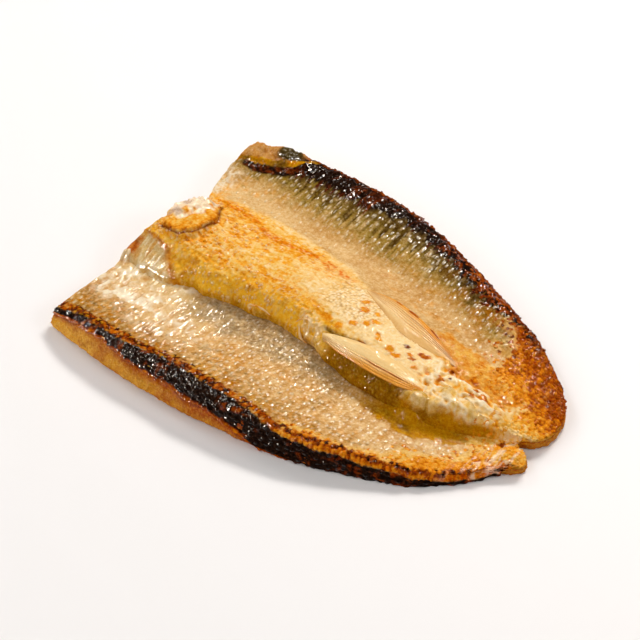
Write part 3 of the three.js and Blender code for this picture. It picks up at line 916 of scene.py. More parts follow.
RED_SPOTS = [(34, 3.7), (35.8, 2.4), (37.6, 7), (39.2, 7.8), (49, 9.6), (48.6, 3.6), (57.1, 12),
             (61.6, 8.6), (61.5, 5.4), (65, 7.4), (18, -4.9)]
DARK_SPOTS = [(31, 5.8), (51.1, 5.8), (49.4, 9.6), (52.9, 32.4), (58.6, 34.1), (81.1, 24.9)]
# Middle, half sizes, turn in degrees and height of each lump.
GLOBES = [((43.6, -9.0), (4.4, 3.2), 20, 1.3), ((48.2, -8.6), (5.0, 3.8), 25, 1.9),
          ((53.0, -6.5), (4.4, 3.4), 20, 1.7), ((54.6, 0.6), (5.2, 4.2), -25, 1.8),
          ((60.0, -2.2), (3.8, 2.6), 20, 1.0), ((65.2, 0.8), (5.0, 4.2), -20, 1.8),
          ((71.0, 3.0), (4.2, 3.0), 10, 1.1)]

crease, fold = line_distance(FLAP_CREASE), line_distance(FIN_FOLD)
border = line_distance(BORDER_LINE)
torn_line, hollow_line = line_distance(TORN_LINE), line_distance(HOLLOW_LINE)
globe = np.zeros_like(x)
for at, half, turn, tall in GLOBES:
    ragged = oval(x, y, at, half, turn) + 0.16 * cloudy(x / 2.4, y / 2.4, 3, 58)
    globe = np.maximum(globe, tall * fall(0.1, 1.1, ragged))
flap = fall(0.92, 1.0, oval(x, y, (-74, 0), (8.6, 12.2), -16))
fat = fall(0.8, 1.05, oval(x, y, (-78.5, 4.5), (7.4, 11.8), -12) + 0.2 * lumpy(x / 3, y / 3, 52))
print("landmarks:", len(ORANGE_SPOTS) + len(RED_SPOTS) + len(DARK_SPOTS), "fried spots")

# %% [markdown]
# Each zone is a number from 0 to 1 at every point. The ridge has a bubbled head, a bright side over
# the valley with a torn collar of skin at the head, a smooth part between the fins and a frilled end.
# The far flank darkens through olive to the burnt edge, and its lobe and the tail are crusted.

# %% Ridge and far flank: zones
wander = cloudy(x / 5, y / 5, salt=13)
mottle = cloudy(x / 7, y / 5, salt=23)
fine = cloudy(x / 1.8, y / 1.4, 3, 24)
streak = lumpy(x / 0.9, y / 9 + 0.2 * x, 26) + 0.6 * lumpy(x / 2.1, y / 12, 27)
light_streak = rise(0.1, 0.7, -streak)
from_far_edge = along(FAR_EDGE, x) - y
past_olive = from_far_edge - along(OLIVE_WIDTH, x)
from_core = from_far_edge - along(CORE_WIDTH, x) + 1.6 * wander + 2.6 * streak
golden_side = fall(-1.5, 1.5, y - along(GOLD_LIMIT, x) + 1.5 * wander + fine)
on_top = fall(3.0, 3.12, t)
ridge = rise(1.0, 1.04, t) * golden_side
far = rise(1.0, 1.04, t) * (1 - golden_side)
side = fall(1.14, 1.34, t + 0.04 * wander) * fall(40, 62, x)
from_collar = t - along(COLLAR_LIMIT, x)
collar = fall(-0.015, 0.025, from_collar - 0.02 * wander - 0.015 * fine)
open_side = side * (1 - collar)
head_bubbles = fall(-60, -8, x + 26 * (t - 1.2) + 12 * wander) * ridge * (1 - flap) * (1 - collar)
between_fins = window(-8, 2, 44, 52, x) * ridge * rise(1.2, 1.4, t)
frill = window(38, 46, 68, 78, x) * fall(1.95, 2.2, t) * rise(1.08, 1.25, t)
lobe = rise(46, 66, x + 16 * (t - 2.4) + 8 * wander) * rise(1.75, 2.1, t)
tail_end = rise(68, 80, x + 4 * wander) * fall(2.0, 2.3, t)
crust = np.maximum(lobe, tail_end)
plain_ridge = ridge * (1 - between_fins) * (1 - frill) * (1 - crust) * (1 - flap) * (1 - collar)
dim = fall(-2, 12, past_olive)
burnt = far * fall(-1, 1.2, from_core) * fall(56, 72, x)
corner = fall(-0.4, 0.4, along(TORN_LINE, x) - y) * fall(-72, -68, x + 1.5 * wander) * on_top
knob = fall(0.6, 1.1, oval(x, y, (-73.5, 56), (5.2, 4.2), 20) + 0.2 * wander) * on_top
bulb = fall(0.3, 1.1, oval(x, y, (4.5, -11.2), (5.5, 2.6), -8) + 0.2 * fine)
tangle = fall(0.6, 1.1, oval(x, y, (-3.5, -8), (6.5, 3.4), -6) + 0.25 * fine)
print("share of points in the crust, percent:", round(100 * float(crust.mean())))

# %% Ridge and far flank: relief
FAR_SCALE_WIDTH = 3.4
crumbs = cells(x / 1.2, y / 1.2, 15)
near_cell, crumb_tone = crumbs
blobs = cells(x / 2.2, y / 1.7, 17)
blob_cell, blob_tone = blobs
net = folded(cloudy(x / 3.4 + 0.3 * wander, y / 1.7, 3, 16))
pucker = folded(cloudy(x / 3.2 + y / 8, y / 2.2, 3, 18))
wrinkle = folded(cloudy(x / 2.2, y / 9, 2, 28))
crinkle = folded(cloudy(x / 1.8 + y / 3 + 0.5 * wander, y / 1.8 - x / 8 + 0.6 * mottle, 2, 29))
rope = folded(cloudy(x / 2.6 + y / 4 + 0.6 * wander, y / 2.2 - x / 9 + 0.6 * mottle, 2, 68))
scale_x, scale_y = x + 0.7 * wander, y + 0.8 * wander
scale = scales(scale_x, scale_y, FAR_SCALE_WIDTH)
# Flecks and blobs are raised wet spots whose cream colour is a painted highlight.
glint_fleck = dotted(crumbs, (0.18, 0.34), (0.78, 0.84), 0.2 * fine) * plain_ridge * rise(1.5, 3, border)
glint_blob = dotted(blobs, (0.1, 0.24), (0.55, 0.65)) * open_side
gleam = dotted(cells(x / 1.4 + y / 12, y / 3.8, 16), (0.12, 0.28), (0.48, 0.58))
gleam *= far * dim * (1 - crust) * (1 - corner) * fall(40, 60, x)
side_glint_dot = dotted((blob_cell + 0.1 * fine, blob_tone), (0.14, 0.32), (0.4, 0.5))
side_glint_dot = np.minimum(side_glint_dot + dotted(crumbs, (0.14, 0.3), (0.7, 0.75)), 1)
side_glint_dot *= np.maximum(open_side, 0.8 * head_bubbles)
fat_fold = lumpy(x / 3.4 + 0.5 * wander, y / 2.2, 53)

relief = 0.6 * plain_ridge * (net - 0.75) + 0.3 * glint_fleck + 0.3 * glint_blob + 0.2 * side_glint_dot
relief += 0.5 * np.maximum(head_bubbles, 0.8 * open_side) * (0.6 - near_cell)
relief += 0.9 * np.maximum(head_bubbles, open_side) * (pucker - 0.7)
relief += 0.8 * collar * (wrinkle - 0.7) + 0.35 * ridge * cloudy(x / 4, y / 4, 2, 18)
relief += 0.3 * between_fins * cloudy(x / 4.4, y / 2.6, 2, 19) + 0.35 * between_fins * rise(0.85, 1, crinkle)
relief += 2.2 * frill * (rope - 0.7) + (0.4 * np.minimum(globe, 1) + tangle) * (crinkle - 0.7) + 1.1 * globe
relief += far * (1 - crust) * (0.3 + 0.25 * dim) * (scale - 0.5) + 0.12 * far * fine
relief += 0.3 * gleam - 0.24 * far * (1 - crust) * dim * streak
relief += far * fall(-86, -78, x) * (crinkle - 0.7)
relief += crust * (0.9 * (0.6 - near_cell) + 0.4 * (0.6 - blob_cell) + 0.7 * cloudy(x / 3.2, y / 3.2, 4, 20))
relief += burnt * (0.5 * (0.6 - near_cell) + 0.6 * cloudy(x / 2, y / 2, 3, 22))
relief += 0.7 * flap * (1 - fat) * rise(0.2, 1.2, crease) - 0.6 * on_line(crease, 0.5)
relief += 0.5 * flap * (0.6 - near_cell) - 0.8 * (1 - crust) * on_line(fold, 0.8)
relief += 0.9 * fat * (crinkle - 0.7) + 0.8 * fat * (0.45 - np.abs(fat_fold))
relief += 0.9 * corner * (1 + 0.8 * cloudy(x / 3, y / 3, 3, 56)) - 0.5 * on_line(hollow_line, 1.6)
relief += 1.1 * knob * (crinkle - 0.7) + 1.2 * bulb
relief *= rise(1.0, 1.05, t) * fall(3.35, 3.6, t)
ridge_skin = sheet("ridge_and_far_skin", raised(surface, relief), SKIN_THICKNESS)

# %% [markdown]
# The ridge is coloured by how far it is fried, from cream to brown. Its side over the valley is a
# clearer gold, painted brighter than the crust as painted light, and a band above its foot is painted
# brighter still. The foot itself is a darker olive as painted shade in the crease. Under the near fin
# and beside the lumps the ridge turns olive, partly its own colour and partly painted shade.

# %% Ridge: colour
bubble_gap = rise(0.35, 0.75, near_cell)
on_head = fall(-62, -6, x)
grain = cloudy(x / 1.15, y / 0.95, 2, 60)
done = 0.21 + 0.12 * mottle + 0.18 * fine + 0.24 * grain * ridge + 0.05 * on_head
done -= 0.05 * rise(-30, -10, x) * rise(1.3, 1.4, t)
done += plain_ridge * (0.14 * fall(0.6, 0.85, net) + 0.1 * (crumb_tone - 0.5))
done += head_bubbles * (0.16 * bubble_gap + 0.2 * (crumb_tone - 0.5))
done += side * fall(-6, 10, x) * (0.1 + 0.1 * fall(0.5, 0.85, pucker) + 0.1 * (crumb_tone - 0.5))
by_border = 0.08 * fall(0.3, 3.2, border + 2.6 * fine) + 0.08 * fall(3, 9, border + 2 * wander)
done += by_border * ridge * fall(-4, 6, x)
done -= 0.22 * between_fins + 0.08 * window(-40, -26, -6, 2, x) * window(1.35, 1.5, 1.75, 1.9, t)
done += 0.12 * window(1.12, 1.2, 1.32, 1.5, t) * window(-44, -26, -6, 2, x)
done -= 0.14 * rise(1.5, 5, y - along(BORDER_LINE, x)) * fall(-4, 4, x)

side_patch = rise(0.05, 0.45, cloudy(x / 3, y / 2, 3, 67)) * open_side
foot_crease_shade = fall(1.0, 1.1, t + 0.06 * fine + 0.04 * wander) * (1 - collar)
foot_glow = window(1.03, 1.08, 1.1, 1.18, t) * window(-58, -48, 2, 12, x)
rare = 0.25 * fall(1, 4, border) - 0.1 * fall(-0.2, 0.3, mottle)
dots = dotted(crumbs, (0.22, 0.36), (0.84, 0.88), rare) * plain_ridge
border_dots = dotted(blobs, (0.36, 0.5), (0.35, 0.5)) * fall(0.9, 2.0, border) * fall(-6, -2, x)
lip = on_line(from_collar - 0.02, 0.018) * fall(-58, -46, x)
colour = layered(fried(np.minimum(done, 0.66)), [
    (CREAM, 0.3 * window(-30, -12, 30, 50, x) * rise(1.3, 1.45, t) * ridge),
    # the side's golden crust, painted brighter as painted light
    (LIT_SIDE_GOLD, 0.85 * open_side * (0.8 + 0.5 * mottle)),
    (tint(BROWNED, CRUST_GOLD, 0.6 + fine), 0.75 * side_patch),
    (DARK_OLIVE, 0.12 * open_side * fall(0.45, 0.65, pucker)),
    # darker olive along the foot: painted shade in the crease
    (tint(OLIVE, DARK_OLIVE, 0.4), 0.5 * foot_crease_shade),
    # a band above the foot painted a brighter gold as painted light
    (LIT_SIDE_GOLD, 0.68 * foot_glow),
    # cream on the net's crests: partly pale crust, partly painted highlight
    (CREAM, 0.55 * plain_ridge * (1 - side) * rise(0.88, 0.98, net) * rise(-0.4, 0.3, mottle)),
    (PALE_GOLD, 0.7 * open_side * dotted(blobs, (0.2, 0.34), (0.3, 0.4))),
    (fried(0.68 + 0.1 * fine), 0.9 * dots * (0.4 + 0.6 * on_head)),
    (EMBER, 0.85 * border_dots),
    # cream on the flecks and blobs: painted highlight
    (CREAM, 0.8 * glint_fleck + 0.2 * glint_blob),
    (tint(MEMBRANE, BEIGE, fall(0.6, 0.9, wrinkle)), collar),
    (PALE_GOLD, 0.5 * collar * rise(0, 0.5, fine)),
    # white on the collar's wrinkle crests: painted highlight
    (FAT_WHITE, 0.4 * collar * rise(0.88, 0.98, wrinkle)),
    (fried(0.72 + 0.2 * fine), 0.75 * lip),
])

shade = rise(-2, 10, x) * fall(1.14, 1.3, t + 0.05 * wander)
shade += 0.45 * fall(-2, 10, x) * fall(1.0, 1.09, t + 0.02 * wander)
fin_shadow = window(6, 14, 40, 50, x) * (0.35 + 0.2 * wander)
web = window(-14, -4, 10, 20, x) * window(1.3, 1.5, 1.9, 2, t) * ridge
white_folds = frill * rise(0.78, 0.92, rope)
frill_done = 0.1 + 0.5 * fall(0.35, 0.7, rope) + 0.16 * fine + 0.16 * mottle
tail_glow = window(24, 40, 70, 80, x) * window(1.66, 1.8, 2.1, 2.3, t + 0.08 * mottle)
tail_glow = rise(0.3, 0.6, tail_glow + 0.4 * fine * (tail_glow > 0.02))
valley_side = rise(38, 46, x) * fall(1.12, 1.22, t + 0.08 * mottle + 0.05 * fine) * fall(74, 84, x)
colour = layered(colour, [
    # olive of the ridge's side, darkened under the near fin as painted shadow
    (tint(OLIVE, DARK_OLIVE, fin_shadow), shade * fall(44, 70, x) * (1 - collar) * (1 - bulb)),
    (PALE_YELLOW, 0.85 * bulb * rise(-0.6, 0.1, fine)),
    (BEIGE, 0.7 * web * rise(0.42, 0.6, near_cell + 0.1 * fine)),
    (FAT_WHITE, 0.6 * web * dotted(crumbs, (0.2, 0.4), (0.3, 0.5))),
    (fried(0.5 + 0.2 * fine), spots(x, y, ORANGE_SPOTS, 1.4)),
    # dark line under the fold: painted shadow
    (DARK_OLIVE, 0.8 * on_line(fold, 0.7)),
    (fried(frill_done), frill),
    (FAT_WHITE, 0.55 * white_folds),
    (tint(PALE_GOLD, CRUST_GOLD, 0.5 + 0.8 * fine + 0.3 * mottle), tail_glow),
    (CREAM, 0.8 * tangle * rise(0.6, 0.85, crinkle)),
    (BROWNED, 0.5 * tangle * fall(0.45, 0.7, crinkle)),
    # pale gold dots on the side: painted highlight
    (PALE_GOLD, 0.6 * side_glint_dot * (1 - shade)),
    # olive beside the lumps: partly the skin's own colour, partly painted shade of the hollow
    (OLIVE, valley_side),
    (DARK_OLIVE, 0.4 * valley_side * rise(-0.2, 0.5, cloudy(x / 5, y / 3, 3, 66))),
    (PALE_YELLOW, 0.8 * rise(0.4, 1.3, globe + 0.5 * fine)),
    # white on the lumps' tops: painted highlight
    (FAT_WHITE, 0.2 * rise(1.1, 1.8, globe + 0.6 * fine) * rise(0.5, 0.9, crinkle)),
    (fried(0.7 + 0.2 * fine), spots(x, y, RED_SPOTS, 1.2)),
])

# %% [markdown]
# The far flank is beige by the ridge and darkens outward in streaks, which are the rows of scales
# seen through thinning silver skin. The burnt edge, the crusted lobe and the torn corner go on top.

# %% Far flank: colour
far_raw = 0.16 + 0.16 * mottle + 0.14 * fine + 0.14 * streak * dim
darker = fall(2, 12, past_olive + 2 * wander) + fall(-4, 5, past_olive + 3 * wander + 3 * streak)
far_raw += 0.2 * (darker + fall(0, 7, from_core + 2 * fine)) * fall(52, 70, x)
gold_wisps = rise(0.0, 0.5, cloudy(x / 5, y / 2.4, 3, 57)) * rise(-30, 20, x)
gold_wisps *= window(14, 20, 30, 44, from_far_edge)
wisps = fall(-54, -34, x) * window(8, 12, 24, 34, from_far_edge)
wisps *= rise(0.05, 0.5, cloudy(x / 5 + y / 9, y / 3, 3, 65))
dark_streak = rise(-0.1, 0.6, streak) * fall(-3, 5, past_olive + 2 * wander)
far_gold = fall(-70, -50, x) * rise(0.0, 0.5, cloudy(x / 4, y / 4, 3, 59))
far_brown = rise(6, 36, x) * rise(-0.3, 0.4, cloudy(x / 5, y / 4, 3, 63)) * fall(14, 26, from_far_edge)
curl_and_glint = fall(-86, -78, x) * fall(34, 40, y) * far * rise(0.75, 0.92, crinkle)
far_tone = layered(ramp(SKIN_TONES, far_raw), [
    (tint(BRIGHT_GOLD, BROWNED, 0.5 + fine), 0.45 * gold_wisps),
    (OLIVE_GOLD, 0.85 * dim * (0.8 + 0.4 * fine) * fall(46, 66, x)),
    (DARK_OLIVE, 0.95 * dark_streak * fall(46, 60, x)),
    (DARK_OLIVE, 0.8 * fall(0, 10, from_core + 2 * fine) * fall(46, 60, x)),
    (PALE_BEIGE, 0.5 * light_streak * dim * rise(-0.1, 0.3, fine)),
    (CREAM, 0.5 * fall(-60, -36, x) * (1 - dim) * rise(-0.3, 0.4, mottle + 0.5 * fine)),
    (fried(0.4 + 0.16 * fine), 0.6 * far_gold * (1 - dim)),
    (tint(OLIVE_GOLD, DARK_OLIVE, 0.3 + fine), 0.7 * wisps),
    (BROWNED, 0.65 * far_brown),
    # white on the curls at the cut: partly white skin, partly painted highlight
    (FAT_WHITE, 0.6 * curl_and_glint),
    # pale free edges of the scales: painted highlight
    (PALE_BEIGE, 0.5 * rise(0.75, 0.97, scale) * (1 - 0.8 * dim)),
])

crust_done = 0.43 + 0.3 * fall(4, 26, from_far_edge + 5 * wander + 4 * fine)
crust_done += 0.16 * rise(70, 88, x) * rise(8, 18, y) + 0.08 * rise(1.9, 2.3, t) + 0.34 * (crumb_tone - 0.5)
crust_done += 0.2 * (bubble_gap - 0.3) + 0.14 * wander + 0.16 * fine - 0.25 * tail_end * fall(4, 14, y)
rust_rim = rise(-10, 30, x) * far * fall(3, 10, from_far_edge + 2 * wander) * (1 - crust)
rust_rim = np.maximum(rust_rim, 0.6 * far * fall(0.8, 2.4, from_far_edge + fine))
rust_done = 0.8 + 0.3 * (crumb_tone - 0.5) + 0.12 * fine
burnt_done = 1.08 - 0.12 * (1 - on_top) + 0.1 * wander - 0.08 * rise(0, 0.8, -streak)
burnt_done -= 0.12 * fall(0, 3, from_far_edge + fine)
crust_share = np.maximum(rise(0.5, 1, crust), grainy(0.9 * crust, crumb_tone, 1.2))
colour = layered(colour, [
    (far_tone, far * (1 - crust) * (1 - 0.9 * tail_glow)),
    # white on the gleams: painted highlight
    (FAT_WHITE, 0.6 * gleam * (1 - 0.6 * burnt)),
    (fried(np.minimum(crust_done, 0.8)), crust_share),
    (fried(burnt_done), burnt),
    (fried(rust_done), grainy(0.4 * rust_rim * (1 + on_top), crumb_tone, 1.2)),
    (RUST, spots(x, y, DARK_SPOTS, 0.8)),
])

# %% Chest flap and torn corner: colour
FAT_MIDDLE, FAT_HALF = (-79, 6), (6, 11)
flap_done = 0.3 + 0.2 * fine + 0.3 * (crumb_tone - 0.5) + 0.24 * bubble_gap + 0.2 * fall(1, 3, crease)
thick_fat = 0.5 * fall(0.4, 1.0, oval(x, y, FAT_MIDDLE, FAT_HALF, -12))
fat_film = fat * rise(-0.35, 0.05, cloudy(x / 3, y / 3, 3, 55) + thick_fat)
meat = corner * (1 - knob)
torn_edge = rise(0.1, 0.5, on_line(torn_line, 1.25 + 0.3 * fine) * fall(-66, -62, x) * on_top)
torn_hollow_shade = on_line(hollow_line, 2.4) * (1 - torn_edge) * (1 - corner)
head_curls = fall(0.5, 1.1, oval(x, y, (-86, -21), (3.4, 6)) + 0.4 * fine)
colour = layered(colour, [
    (fried(flap_done), 0.95 * flap),
    (FAT_WHITE, 0.7 * fat_film),
    (PINK_FLESH, 0.75 * fat * rise(0.25, 0.6, fat_fold)),
    # dark line along the flap's crease: painted shade in the crease
    (RUST, 0.95 * on_line(crease, 0.6)),
    (tint(BEIGE, BROWNED, 0.4 + 0.6 * fine + 0.3 * mottle), meat),
    (PINK_FLESH, 0.6 * meat * rise(0.1, 0.5, cloudy(x / 4, y / 3, 3, 69))),
    (tint(tint(OLIVE, CRUST_GOLD, fine), DARK_OLIVE, 0.3 - wander), torn_edge),
    # near black under the torn flap: painted shade in the hollow
    (fried(1.02 + 0.16 * fine), rise(0.15, 0.6, torn_hollow_shade + 0.2 * wander)),
    (SOOT, 0.9 * knob),
    (fried(0.78 + 0.3 * fine), 0.9 * head_curls),
])

# %% Ridge and far flank: wet places
sheen = rise(0.0, 0.5, lumpy(x / 1.5, y / 2.2, 8))
wet = 0.02 + 0.5 * far * (0.2 + 0.8 * dim) * rise(0.7, 0.95, np.maximum(scale, wrinkle)) * sheen
wet += 0.95 * fat_film + 0.8 * tangle * rise(0.75, 0.9, crinkle) + curl_and_glint
wet += burnt * dotted(crumbs, (0.14, 0.3), (0.4, 0.5)) + far * dim * light_streak * sheen
wet += 0.9 * collar * rise(0.75, 0.9, wrinkle) + 0.7 * white_folds * sheen
wet += 0.6 * np.maximum(head_bubbles, 0.3 * side) * rise(0.88, 0.96, pucker) * sheen * (1 - shade)
wet += 0.8 * (crust + rust_rim + flap) * dotted(crumbs, (0.12, 0.26), (0.55, 0.65))
wet += glint_fleck + glint_blob * (1 - shade) + gleam
wet += knob * rise(0.84, 0.95, crinkle) + 0.8 * bulb * rise(0.8, 0.95, crinkle)
wet += 0.4 * plain_ridge * (1 - side) * rise(0.9, 0.98, net) * sheen
wet += 0.5 * between_fins * rise(0.9, 1, crinkle) + 0.4 * rise(0.6, 1.2, globe) * sheen
paint(ridge_skin, colour, wet)
bubble_zone = np.maximum(open_side * (1 - shade), 0.7 * head_bubbles) * rise(1.02, 1.06, t) * fall(-6, 2, x)
ridge_crumb_zone = np.maximum(0.8 * crust, np.maximum(rust_rim, 0.3 * burnt)) + 0.2 * head_bubbles
ridge_crumb_zone *= fall(3.3, 3.5, t)
far_beads = rise(0.2, 0.4, chance(np.floor(x / 3), np.floor(y / 3), 45))
far_beads *= scale_tips(scale_x, scale_y, FAR_SCALE_WIDTH) * far * (1 - crust)
far_beads *= fall(2.97, 3, t) * rise(2.1, 2.3, t) * (1 - corner) * (1 - 0.75 * burnt)
far_beads *= 1 - rise(0.1, 0.4, torn_hollow_shade)
finished(ridge_skin, oily_skin)

# %% [markdown]
# ## The flesh under the skin
#
# Under the skin is the cooked flesh, cut all round. It is one closed body: a coarse top hidden just
# under the skin, walls that follow the plan's outline, and a flat underside that rests on the floor.
# The walls carry the muscle: blocks that lean toward the tail, split into short wet fibres. Under the
# burnt strip the heat has browned the meat.

# %% Flesh body
TOP_S, TOP_T, WALL_ROWS = 300, 120, 32
HIDDEN_DEPTH = 1.0
EDGE_INSET = 0.55
UNDERCUT = 0.9

s_top = np.linspace(0, 1, TOP_S + 1)[:, None] * np.ones((1, TOP_T + 1))
t_top = np.linspace(0, 3, TOP_T + 1)[None] * np.ones((TOP_S + 1, 1))
top = skin_point(s_top, t_top)
top[..., 2] -= HIDDEN_DEPTH
loop = rim_loop(TOP_S + 1, TOP_T + 1)
rim = top.reshape(-1, 3)[loop]
rim_t = t_top.ravel()[loop]
ahead, behind = np.roll(rim, -3, axis=0), np.roll(rim, 3, axis=0)
tangent = (ahead - behind)[:, :2]
tangent /= np.linalg.norm(tangent, axis=1, keepdims=True)
outward = np.stack([tangent[:, 1], -tangent[:, 0]], 1)
length_round = np.cumsum(np.linalg.norm(np.diff(rim[:, :2], axis=0, prepend=rim[-1:, :2]), axis=1))

down = np.linspace(0, 1, WALL_ROWS + 1)[None, 1:] * np.ones((len(loop), 1))
flare = along(NEAR_FLARE, rim[:, 0]) * (rim_t < 0.001)
push = flare[:, None] * rise(0.1, 0.9, down) + EDGE_BULGE * np.sin(np.pi * down) ** 0.5
push -= EDGE_INSET + UNDERCUT * rise(0.88, 1.0, down)
run = length_round[:, None] + 3.5 * down
flake = folded(lumpy(run / 4.5, 0 * run, 61))
fibre = cloudy(run / 0.9, down * 5, 3, 62)
grains = cells(run / 1.4, down * 8, 63)
wall_cell, wall_tone = grains
push += 0.6 * (flake - 0.6) + 0.3 * fibre + 0.45 * (0.6 - wall_cell)
wall = np.zeros(down.shape + (3,))
wall[..., :2] = rim[:, None, :2] + outward[:, None] * push[..., None]
wall[..., 2] = rim[:, None, 2] * (1 - down)

points = np.concatenate([top.reshape(-1, 3), wall.reshape(-1, 3)])
faces = quads(TOP_S + 1, TOP_T + 1)
wall_start, count = top.shape[0] * top.shape[1], len(loop)
for k in range(count):
    following = (k + 1) % count
    here = [loop[k]] + [wall_start + k * WALL_ROWS + j for j in range(WALL_ROWS)]
    there = [loop[following]] + [wall_start + following * WALL_ROWS + j for j in range(WALL_ROWS)]
    faces += [[here[j], here[j + 1], there[j + 1], there[j]] for j in range(WALL_ROWS)]
faces.append([wall_start + k * WALL_ROWS + WALL_ROWS - 1 for k in range(count)][::-1])
flesh = new_object("cut_flesh", points, faces)

wall_x = wall[..., 0]
wall_blotch = cloudy(run / 5, down * 3, 3, 64)
toward_tail = rise(-40, 0, wall_x)
pale = 0.5 * rise(0.3, 0.8, wall_tone) + 0.4 * rise(0.0, 0.5, -wall_blotch) * (1 - toward_tail)
below_strip = down - along(STRIP_SHARE, wall_x) * (rim_t < 0.001)[:, None] + 0.12 * wall_blotch
wall_colour = layered(CUT_FLESH, [
    (BROWNED, rise(-0.2, 0.6, fibre)),
    (PALE_FLESH, pale),
    (PALE_FLESH, 0.7 * fall(-66, -36, wall_x) * rise(-0.7, 0.1, -wall_blotch)),
    (CRUST_BROWN, 0.5 * rise(0.0, 0.5, wall_blotch) + 0.35 * toward_tail),
    (CRUST_BROWN, 0.85 * fall(0.02, 0.3, below_strip)),
    (RUST, 0.6 * fall(0.0, 0.12, below_strip) + 0.5 * rise(0.8, 1, down)),
    (BROWNED, 0.7 * dotted(grains, (0.12, 0.4), (0.5, 0.6))),
])
flesh_colours = np.concatenate([np.tile(PALE_FLESH, (t_top.size, 1)), wall_colour.reshape(-1, 3)])
paint(flesh, flesh_colours, np.full(len(flesh_colours), 0.25))
wet_flesh = speckled("wet cut flesh", roughness=0.4, bump_mm=0.15, speck_mm=0.7, contrast=0.35)
finished(flesh, wet_flesh)

# %% [markdown]
# ## The pelvic fins
#
# Each fin is a thin fan of bony rays with skin between them, laid back along the ridge. It is a sheet
# between two edge curves. The rays are ridges that run from the root, where they bunch together, to
# the tip. Frying has dried the skin between them to a clear straw colour and burnt the outer edge.

# %% Fins
FIN_STEPS, FIN_ACROSS, RAY_COUNT = 96, 66, 10
FIN_THICKNESS, FIN_ARCH = 0.7, 1.2
RAY_HEIGHT = 0.35
NEAR_INNER = [(3.5, -9.8, 16.4), (8, -7.8, 17), (13.2, -6.4, 17.4), (21.5, -4.0, 17.4), (30, -2.8, 16.6),
              (38.5, -2, 15.2), (47.5, -3.2, 13.2)]
NEAR_OUTER = [(4.2, -10.8, 15.8), (9, -12.4, 15.8), (14.3, -13, 15.8), (25.3, -12.7, 15.7),
              (33.3, -11.8, 15.3), (41.8, -9.8, 14.6), (48.4, -5, 13.3)]
FAR_INNER = [(1, 17.6, 16), (10, 14.2, 16.5), (17.4, 11.4, 16.6), (24.4, 9.4, 16.3), (31, 9.6, 15.5),
             (38, 10.8, 14.3), (48.5, 13, 12.2)]
FAR_OUTER = [(0, 19, 15.6), (5, 20.4, 15.6), (11, 22, 15.4), (18.6, 22, 15), (26.5, 21, 14.5),
             (35.4, 18.8, 13.7), (49, 14.2, 12)]
# Middle along X and half length of each burnt place on the far fin's outer edge.
FAR_BURNS = [(13.8, 1.2), (21, 2.8), (33, 3)]


def curve_point(knots, u):
    """Points at u from 0 to 1 along a smooth curve through the knots."""
    places = np.linspace(0, 1, len(knots))
    return np.stack([along([[p, knot[axis]] for p, knot in zip(places, knots)], u) for axis in range(3)], -1)


def fin(name, inner, outer, tone, first_ray, burns, salt):
    """A fan of rays between two edge curves. u runs from root to tip, v from the inner edge to the outer."""
    u = np.linspace(0, 1, FIN_STEPS + 1)[:, None] * np.ones((1, FIN_ACROSS + 1))
    v = np.linspace(0, 1, FIN_ACROSS + 1)[None] * np.ones((FIN_STEPS + 1, 1))
    points = curve_point(inner, u) * (1 - v[..., None]) + curve_point(outer, u) * v[..., None]
    points[..., 2] += FIN_ARCH * np.sin(np.pi * v ** 0.8) * np.sin(np.pi * u) ** 0.5
    ray = np.abs(np.sin(np.pi * (RAY_COUNT * v + 0.25 * lumpy(u * 5, v * 4, salt))))
    ribbed = rise(first_ray, first_ray + 0.2, v) * window(0, 0.08, 0.92, 1, u)
    points[..., 2] += RAY_HEIGHT * (ray - 0.5) * ribbed + 0.25 * cloudy(u * 9, v * 5, 3, salt)
    golden = rise(0.7, 0.95, v + 0.4 * (u - 0.5) + 0.06 * lumpy(u * 8, v * 2, salt + 1))
    ragged = lumpy(u * 12, v * 2, salt + 2)
    dark_ray = window(0.64, 0.67, 0.69, 0.72, v + 0.02 * ragged) * window(0.45, 0.55, 0.78, 0.88, u)
    layers = [
        (CREAM, 0.8 * window(0.1, 0.3, 0.5, 0.7, v) * fall(0.3, 0.7, u)),
        # cream along each ray's crest: painted highlight
        (CREAM, 0.3 * rise(0.6, 1, ray) * ribbed),
        (CRUST_GOLD, 0.8 * fall(0.05, 0.4, ray) * ribbed),
        (BRIGHT_GOLD, 0.85 * golden),
        (CRUST_BROWN, 0.5 * golden * fall(0.05, 0.35, ray)),
    ]
    for at, half in burns:
        near = np.abs(points[..., 0] - at) / half + 0.3 * ragged
        layers.append((fried(0.74 + 0.1 * ragged), fall(0.7, 1.1, near) * rise(0.84, 0.9, v + 0.04 * ragged)))
    colour = layered(tone, layers + [(CRUST_BROWN, 0.9 * dark_ray)])
    wet = 0.1 + 0.5 * rise(0.8, 1, ray)
    if points[0, 0, 1] > points[0, -1, 1]:
        points, colour, wet = points[:, ::-1], colour[:, ::-1], wet[:, ::-1]
    thing = sheet(name, points, FIN_THICKNESS)
    paint(thing, colour, wet)
    return thing


clear_fin = speckled("dried fin skin", roughness=0.36, bump_mm=0.12, speck_mm=0.8, contrast=0.12)
finished(fin("near_pelvic_fin", NEAR_INNER, NEAR_OUTER, FIN_STRAW, 0.5, [], 71), clear_fin)
finished(fin("far_pelvic_fin", FAR_INNER, FAR_OUTER, FIN_TAN, 0.25, FAR_BURNS, 81), clear_fin)

# %% [markdown]
# At the near fin's root the torn skin has dried into a few thin pale curls. Each is a round cord along
# a smooth curve. It is thickest in the middle and closes to a point at both ends.


# %% Curls at the fin's root
CURL_STEPS, CURL_SIDES = 28, 8
